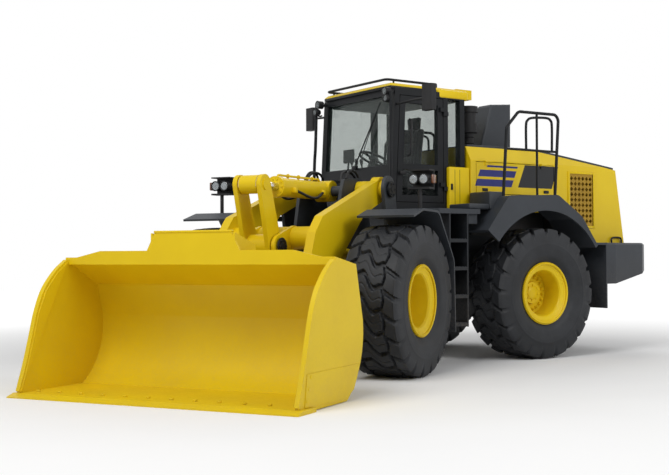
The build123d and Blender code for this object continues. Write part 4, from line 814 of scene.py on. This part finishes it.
# cab fittings: rear cabinets, roof cap and gasket, grab tubes, wiper, liner, dash, consoles, screen, door pulls
cabFittings = {
    "cabinet": ((-0.95, 0.795, 1.915), (-0.612, 0.866, 2.455)),
    "seamsX": (-0.78, -0.7),
    "seam": ((-0.003, 0.86, 1.96), (0.003, 0.8675, 2.42)),
    "latch": ((-0.66, 0.86, 2.16), (-0.632, 0.88, 2.24)),
    "grab": [(0.29, 0.842, 3.34), (0.3, 0.856, 2.8), (0.308, 0.866, 2.6), (0.312, 0.872, 2.3), (0.3, 0.872, 1.99)],
    "wiper": [(0.268, 0.02, 2.465), (0.252, 0.22, 2.76), (0.228, 0.54, 3.24)],
    "blade": [(0.258, 0.18, 2.6), (0.246, 0.33, 2.88), (0.23, 0.54, 3.235)],
    "wiperFoot": ((0.24, -0.03, 2.435), (0.28, 0.07, 2.485)),
    "liner": ((-0.835, -0.715, 3.296), (0.12, 0.715, 3.326)),
    "dash": ((0.015, -0.45, 2.26), (0.165, 0.45, 2.425)),
    "consoles": (((-0.64, -0.66, 2.18), (-0.02, -0.47, 2.47)), ((-0.64, 0.4, 2.18), (-0.18, 0.52, 2.4))),
    "screen": ((0.02, -0.56, 2.56), (0.055, -0.33, 2.74)),
    "screenArm": [(0.045, -0.445, 2.4), (0.05, -0.445, 2.48), (0.04, -0.445, 2.58)],
    "screenFace": [(-0.545, 2.575), (-0.345, 2.575), (-0.345, 2.725), (-0.545, 2.725)],
    "screenX": (0.0185, 0.0195),
    "levers": [(x, -0.56, 2.468) for x in (-0.1, -0.18, -0.26)],
    "stalk": [(0.012, 0), (0.01, 0.08), (0.017, 0.095), (0.024, 0.13), (0.021, 0.16), (0.008, 0.172)],
    "hub": [(0.062, -0.02), (0.07, 0.0), (0.055, 0.022), (0.012, 0.028)],
    "hubAt": (-0.049, 0, 2.588),
    "hubLean": math.radians(25),
    "roofCap": ((-0.985, -0.808, 3.326), (-0.5, 0.808, 3.44)),
    "gasket": ((-0.932, -0.746, 3.396), (0.226, 0.746, 3.432)),
    "handle": ((0.06, 0.822, 2.33), (0.15, 0.846, 2.372)),
    "pull": [
        (0.02, 0.83, 2.56), (0.01, 0.872, 2.6), (0.005, 0.878, 2.78), (-0.005, 0.872, 2.98), (-0.005, 0.83, 3.02),
    ],
}
c = cabFittings
yellowBits = weld(mirrored(block(*c["cabinet"], 0.02, 4)), block(*c["roofCap"], 0.03, 5))
makePiece("cabinets", yellowBits, yellow)
seams = [block(*(np.array(c["seam"]) + (x, 0, 0)), 0.001) for x in c["seamsX"]]
tubes = weld(bar(c["grab"], 0.021, 14), block(*c["latch"], 0.006), *seams)
wiper = weld(bar(c["wiper"], 0.008, 8), bar(c["blade"], 0.0055, 6), block(*c["wiperFoot"], 0.015))
darkBits = weld(mirrored(tubes), wiper, block(*c["gasket"], 0.004))
makePiece("cabTubes", darkBits, black)
insideBits = weld(
    block(*c["dash"], 0.045, 5),
    *[block(*box, 0.035, 5) for box in c["consoles"]],
    scattered(turned(c["stalk"], 16), c["levers"], (0.12, 0, 1)),
    block(*c["screen"], 0.012),
    bar(c["screenArm"], 0.013),
    turned(c["hub"], 28, c["hubAt"], (-math.sin(c["hubLean"]), 0, math.cos(c["hubLean"]))),
)
makePiece("cabInside", insideBits, (trimPlastic, "black_plastic"))
makePiece("cabLiner", block(*c["liner"], 0.012), (seatSide, "seat_fabric"))
glare = sheetOf(c["screenFace"], *c["screenX"], axes=(1, 2, 0))
makePiece("screenFace", glare, clear)
doorBits = weld(block(*c["handle"], 0.01), bar(c["pull"], 0.013))
makePiece("doorPulls", doorBits, moulded, "cab_door")
print("cab fittings made")

# deck boxes ahead of the rear fenders, the short rail set inside the long one, grips on the steps
deckFittings = {
    "tall": ((-1.16, 0.9, 1.902), (-0.905, 1.3, 2.13)),
    "low": ((-0.898, 0.9, 1.902), (-0.57, 1.3, 1.972)),
    "rail": [(-1.53, 1.3, 2.69), (-1.53, 1.3, 2.99), (-1.56, 1.3, 3.065), (-1.64, 1.3, 3.1),
             (-1.88, 1.3, 3.115), (-1.965, 1.3, 3.09), (-1.992, 1.3, 3.01), (-1.99, 1.3, 2.69)],
    "stepsZ": (0.51, 0.85, 1.19, 1.53),
    "gripsX": np.linspace(-0.47, -0.24, 6),
    "gripsY": np.linspace(1.09, 1.33, 6),
    "grip": [(0.011, 0), (0.008, 0.006), (0.004, 0.0065)],
}
d = deckFittings
deckBits = weld(block(*d["tall"], 0.022, 4), block(*d["low"], 0.018, 4))
makePiece("deckBoxes", mirrored(deckBits), charcoal)
makePiece("innerRails", mirrored(bar(d["rail"], 0.017, 12)), black)
gripZ, gripX, gripY = np.meshgrid(d["stepsZ"], d["gripsX"], d["gripsY"], indexing="ij")
gripAt = np.stack([gripX, gripY, gripZ], -1).reshape(-1, 3)
grips = mirrored(scattered(turned(d["grip"], 8), gripAt, (0, 0, 1)))
makePiece("stepGrips", grips, charcoal)
print("deck fittings made")

# hood: dark trim along the top edges, grille frames, a dark core behind the grilles, latches, grab loops
hoodFittings = {
    "edge": [(-0.985, 0.735, 2.752), (-1.6, 0.735, 2.752), (-2.18, 0.735, 2.752),
             (-2.4, 0.752, 2.724), (-3.0, 0.8, 2.64), (-3.64, 0.838, 2.55)],
    "edgeSize": (0.03, 0.06),
    "grille": ((-3.21, 1.73), (-2.75, 2.45)),
    "frame": 0.034,
    "frameY": (0.862, 0.886),
    "screen": ((-3.42, 0.772, 1.68), (-2.64, 0.78, 2.49)),
    "core": ((-3.3, -0.735, 1.64), (-2.88, 0.735, 2.38)),
    "finsX": np.linspace(-3.28, -2.9, 15),
    "fin": ((-0.006, -0.745, 1.66), (0.006, 0.745, 2.37)),
    "latchesX": (-2.3, -1.2),
    "latch": ((-0.045, 0.868, 2.16), (0.045, 0.884, 2.2)),
    "cleanerRibs": [(-1.28, 0.45, 2.82), (-1.28, 0.45, 2.9)],
    "cleanerR": 0.074,
    "rearGrab": [
        (-3.56, 0.9, 1.48), (-3.56, 0.9, 1.545), (-3.6, 0.9, 1.568),
        (-3.72, 0.9, 1.568), (-3.76, 0.9, 1.545), (-3.76, 0.9, 1.48),
    ],
}
h = hoodFittings
edges = mirrored(strip(h["edge"], *h["edgeSize"]))
makePiece("hoodEdges", edges, charcoal, bevel=0.004)
((x0, z0), (x1, z1)), w = h["grille"], h["frame"]
bars = ((x0 - w, x0, z0 - w, z1 + w), (x1, x1 + w, z0 - w, z1 + w), (x0, x1, z0 - w, z0), (x0, x1, z1, z1 + w))
y0, y1 = h["frameY"]
frameBits = weld(*[block((a, y0, low), (b, y1, high), 0.006) for a, b, low, high in bars])
makePiece("grilleFrames", mirrored(frameBits), yellow)
makePiece("grilleMesh", mirrored(block(*h["screen"], 0.002)), (meshYellow, "yellow_paint"))
fins = [block(*(np.array(h["fin"]) + (x, 0, 0)), 0.003, 2) for x in h["finsX"]]
makePiece("radiatorCore", weld(block(*h["core"], 0.02), *fins), (engineIron, "engine_iron"))
for word, side in bothSides:
    corners = [np.sort(np.array(h["latch"]) * (1, side, 1) + (x, 0, 0), axis=0) for x in h["latchesX"]]
    latches = weld(*[block(*pair, 0.006) for pair in corners])
    makePiece(f"latches_{word}", latches, moulded, f"hood_door_{word}")
cleanerRibs = [hoop(ring(0.008, 8) + (h["cleanerR"], 0.0), 40, at, (0, 0, 1)) for at in h["cleanerRibs"]]
makePiece("cleanerRibs", weld(*cleanerRibs), moulded)
makePiece("rearGrabs", mirrored(bar(h["rearGrab"], 0.013)), black)
print("hood fittings made")

# tower: valve block, side manifolds and the hoses between them
tower = {
    "valve": ((0.7, -0.215, 2.01), (0.88, 0.215, 2.215)),
    "manifold": ((1.085, 0.15, 2.05), (1.165, 0.248, 2.205)),
    "ports": [(x, y, 2.212) for x in (0.75, 0.83) for y in (-0.16, -0.08, 0.0, 0.08, 0.16)],
    "port": [(0.024, 0), (0.024, 0.02), (0.019, 0.024), (0.019, 0.05), (0.012, 0.052)],
    "hoseD": 0.03,
    "hoses": (
        [(0.93, 0.275, 2.262), (0.95, 0.272, 2.312), (1.025, 0.268, 2.35),
         (1.13, 0.268, 2.35), (1.215, 0.272, 2.312), (1.265, 0.275, 2.24)],
        [(0.86, 0.24, 2.16), (0.88, 0.225, 2.245), (0.96, 0.212, 2.32), (1.09, 0.21, 2.345),
         (1.22, 0.215, 2.325), (1.295, 0.226, 2.26), (1.315, 0.24, 2.18)],
    ),
}
valveBits = weld(
    block(*tower["valve"], 0.014),
    scattered(turned(tower["port"], 12), tower["ports"], (0, 0, 1)),
    mirrored(block(*tower["manifold"], 0.01)),
)
makePiece("towerValve", valveBits, black, "front_frame")


# hose along a curve near the route; its length is measured on the bare line before it gets a thickness
def makeHose(name, route, diameter, body):
    curve = bpy.data.curves.new(name, "CURVE")
    curve.dimensions = "3D"
    line = curve.splines.new("NURBS")
    line.points.add(len(route) - 1)
    line.points.foreach_set("co", np.c_[route, np.ones(len(route))].ravel())
    line.order_u = 3
    line.use_endpoint_u = True
    line.resolution_u = 6
    curve.materials.append(hoseRubber)
    hose = linked(name, curve)
    traced = bpy.data.meshes.new_from_object(hose)
    length = float(np.linalg.norm(np.diff(pointsOf(traced), axis=0), axis=1).sum())
    bpy.data.meshes.remove(traced)
    curve.bevel_depth = diameter / 2
    curve.bevel_resolution = 3
    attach(hose, body)


# the same hose on both sides of the front half
def hosePair(name, route, diameter, body):
    for word, side in bothSides:
        makeHose(f"{name}_{word}", frontHalf(np.array(route) * (1, side, 1)), diameter, body)


for index, route in enumerate(tower["hoses"]):
    hosePair(f"towerHose_{index}", route, tower["hoseD"], "front_frame")

# tilt cylinder: painted sleeve over the rod eye, and a hose with its ports along each side of the barrel
tilt = {
    "sleeve": [
        (0.052, -0.1095), (0.09, -0.1095), (0.0985, -0.1035), (0.0985, 0.1035), (0.09, 0.1095), (0.052, 0.1095),
    ],
    "hoseD": 0.03,
    "hose": [(2.19, 0.119, 2.062), (2.11, 0.134, 2.04), (1.99, 0.164, 2.0), (1.865, 0.172, 1.986),
             (1.745, 0.164, 2.003), (1.63, 0.136, 2.044), (1.55, 0.119, 2.066)],
    "ports": (((2.175, 0.07, 2.034), (2.235, 0.14, 2.092)), ((1.505, 0.07, 2.036), (1.565, 0.14, 2.094))),
}
eyeX, eyeZ = machine["leverTop"]
sleeve = turned(tilt["sleeve"], 48, (eyeX, 0, eyeZ), (0, 1, 0))
portBits = mirrored(weld(*[block(*box, 0.01) for box in tilt["ports"]]))
makePiece("tiltPorts", portBits, yellow, "tilt_barrel")
makePiece("rodSleeve", sleeve, yellow, "tilt_rod")
hosePair("tiltHose", tilt["hose"], tilt["hoseD"], "tilt_barrel")
print("tower made")

# seat pads: rounded blocks, swollen by a cloth run, then sewn channels pressed into the faces
seat = {
    "cushion": ((-0.675, -0.232, 2.34), (-0.175, 0.232, 2.432)),
    "back": ((-0.672, -0.222, 2.462), (-0.59, 0.222, 3.01)),
    "rest": ((-0.756, -0.128, 2.985), (-0.69, 0.128, 3.19)),
    "lean": -0.133,  # metres back for each metre up
    "leanFrom": 2.43,
    "voxel": 0.01,
    "pressure": 4.0,
    "frames": 20,
    "cap": 0.024,
    "channelsY": 0.14,
    "channelsX": (-0.52, -0.34),
    "channelsZ": (2.64, 2.82),
    "channelHalf": 0.009,
    "channelDepth": 0.01,
    "topZ": (2.4, 2.43),  # channels fade in over these, on the cushion's top
    "topX": ((-0.69, -0.65), (0.15, 0.2)),
    "topEnds": 2.49,
    "backX": (-0.62, -0.595),  # and on the face of the backrest
    "backZ": (2.5, 3.01),
}


def leanedBack(points):
    return points + np.outer(points[:, 2] - seat["leanFrom"], (seat["lean"], 0, 0))


def settled(piece):
    return bpy.data.meshes.new_from_object(piece.evaluated_get(bpy.context.evaluated_depsgraph_get()))


pads = weld(
    block(*seat["cushion"], 0.036, 6),
    moved(block(*seat["back"], 0.034, 6), leanedBack),
    block(*seat["rest"], 0.026, 6),
)
padPiece = makePiece("seatPads", pads, (seatCloth, "seat_fabric"), smooth=80)
remesh = padPiece.modifiers.new("fineGrid", "REMESH")
remesh.mode = "VOXEL"
remesh.voxel_size = seat["voxel"]
padPiece.data = settled(padPiece)
padPiece.modifiers.clear()
flatPads = pointsOf(padPiece.data)
swell = padPiece.modifiers.new("swell", "CLOTH")
swell.settings.use_pressure = True
swell.settings.uniform_pressure_force = seat["pressure"]
swell.settings.effector_weights.gravity = 0.0
for step in range(1, seat["frames"] + 1):
    scene.frame_set(step)
swollenPads = pointsOf(settled(padPiece))
padPiece.modifiers.clear()
scene.frame_set(1)
# move no point further than the cap: p + d min(1, cap / |d|)
shift = swollenPads - flatPads
far = np.linalg.norm(shift, axis=1)[:, None]
kept = flatPads + shift * np.minimum(1, seat["cap"] / np.maximum(far, 1e-9))
padPiece.data.vertices.foreach_set("co", kept.ravel())
print("seat swollen by up to", round(float(far.max()) * 1000, 1), "mm")


# groove: depth exp(-(gap / half)^2), pressed down on the cushion and back on the backrest
def sewn(gap):
    return seat["channelDepth"] * np.exp(-((gap / seat["channelHalf"]) ** 2))


p = pointsOf(padPiece.data)
onTop = smooth(p[:, 2], *seat["topZ"]) * (p[:, 2] < seat["topEnds"])
onTop = onTop * smooth(-p[:, 0], *seat["topX"][1]) * smooth(p[:, 0], *seat["topX"][0])
face = p[:, 0] - seat["lean"] * (p[:, 2] - seat["leanFrom"])
onBack = smooth(face, *seat["backX"]) * (p[:, 2] > seat["backZ"][0]) * (p[:, 2] < seat["backZ"][1])
alongSide = sewn(np.abs(p[:, 1]) - seat["channelsY"])
inside = np.abs(p[:, 1]) < seat["channelsY"]
crossX = np.max([sewn(p[:, 0] - x) for x in seat["channelsX"]], axis=0) * inside
crossZ = np.max([sewn(p[:, 2] - z) for z in seat["channelsZ"]], axis=0) * inside
p[:, 2] -= onTop * np.maximum(alongSide, crossX)
p[:, 0] -= onBack * np.maximum(alongSide, crossZ)
padPiece.data.vertices.foreach_set("co", p.ravel())
padPiece.data.polygons.foreach_set("use_smooth", [True] * len(padPiece.data.polygons))
rounder = padPiece.modifiers.new("rounder", "SUBSURF")
rounder.levels = rounder.render_levels = 1
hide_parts("seat")
print("seat made")

# floor, light and camera
studio = {
    "floorSize": 60.0,
    "floorSteps": 9,
    "floorFade": (4.5, 10.0),
    "floorTones": ((0.87, 0.87, 0.87), (0.9, 0.9, 0.9)),
    "sky": 0.36,
    "lamps": {
        "keyLamp": ((9.5, 5.0, 11.0), (0.5, 0.5, 1.0), 7.0, 900),
        "fillLamp": ((-3.0, 13.0, 7.0), (-0.5, 0.0, 1.5), 6.0, 520),
        "rimLamp": ((-9.0, -6.0, 9.0), (0.0, 0.0, 1.5), 6.0, 420),
    },
    "camera": (8.1283, 11.4658, 1.358),
    "angles": (91.0522, 0.2737, 143.8254),
    "lens": 58.34,
    "shift": (-0.0783, -0.0059),
}
# floor: pale, and glowing white further out so that no horizon shows
floorFinish = Finish("floorFinish", Roughness=0.9, **{"Specular IOR Level": 0.1, "Emission Strength": 1.0})
floorX, floorY = floorFinish.place()[:2]
reach = floorFinish.node("Math", {"operation": "SQRT"}, {0: floorX * floorX + floorY * floorY})
far = floorFinish.fade(reach, *studio["floorFade"])
cloud = floorFinish.fade(floorFinish.noise(scale=0.6, detail=2), 0.2, 0.8)
floorTone = floorFinish.blend(cloud, *studio["floorTones"])
floorFinish.put("Base Color", floorFinish.blend(far, floorTone, (0.0, 0.0, 0.0)))
floorFinish.put("Emission Color", floorFinish.blend(far, (0.0, 0.0, 0.0), (1.0, 1.0, 1.0)))
n = studio["floorSteps"]
across = np.linspace(-0.5, 0.5, n) * studio["floorSize"]
floorPoints = np.stack([*np.meshgrid(across, across, indexing="ij"), np.zeros((n, n))], -1).reshape(-1, 3)
floorMesh = bpy.data.meshes.new("studioFloor")
floorMesh.from_pydata(floorPoints, [], gridFaces(n, n).tolist())
floorMesh.materials.append(floorFinish.material)
floor = linked("studioFloor", floorMesh)

# sky: soft light on surfaces, plain white to the camera, in mirrors and through glass
world = bpy.data.worlds.new("softStudio")
scene.world = world
world.use_nodes = True
tree = world.node_tree
sky, white = tree.nodes["Background"], tree.nodes.new("ShaderNodeBackground")
for node, strength in ((sky, studio["sky"]), (white, 1.0)):
    node.inputs["Color"].default_value = (1.0, 1.0, 1.0, 1)
    node.inputs["Strength"].default_value = strength
rays = tree.nodes.new("ShaderNodeLightPath").outputs
seen = rays["Is Camera Ray"]
for ray in ("Is Glossy Ray", "Is Transmission Ray"):
    either = tree.nodes.new("ShaderNodeMath")
    either.operation = "MAXIMUM"
    tree.links.new(seen, either.inputs[0])
    tree.links.new(rays[ray], either.inputs[1])
    seen = either.outputs[0]
pick = tree.nodes.new("ShaderNodeMixShader")
tree.links.new(seen, pick.inputs[0])
tree.links.new(sky.outputs[0], pick.inputs[1])
tree.links.new(white.outputs[0], pick.inputs[2])
tree.links.new(pick.outputs[0], tree.nodes["World Output"].inputs["Surface"])


def softLamp(name, place, target, size, power):
    lamp = bpy.data.lights.new(name, "AREA")
    lamp.shape = "DISK"
    lamp.size = size
    lamp.energy = power
    holder = linked(name, lamp)
    holder.location = place
    aim = np.asarray(target, float) - np.asarray(place, float)
    holder.rotation_euler = (
        math.atan2(math.hypot(aim[0], aim[1]), -aim[2]),
        0,
        math.atan2(aim[1], aim[0]) - math.pi / 2,
    )


for lampName, setting in studio["lamps"].items():
    softLamp(lampName, *setting)

view = bpy.data.cameras.new("view")
view.sensor_width = 36.0
view.lens = studio["lens"]
view.shift_x, view.shift_y = studio["shift"]
view.clip_end = 200
camera = linked("view", view)
camera.location = studio["camera"]
camera.rotation_euler = [math.radians(a) for a in studio["angles"]]
scene.camera = camera
scene.view_settings.view_transform = "Standard"
print("stage set")
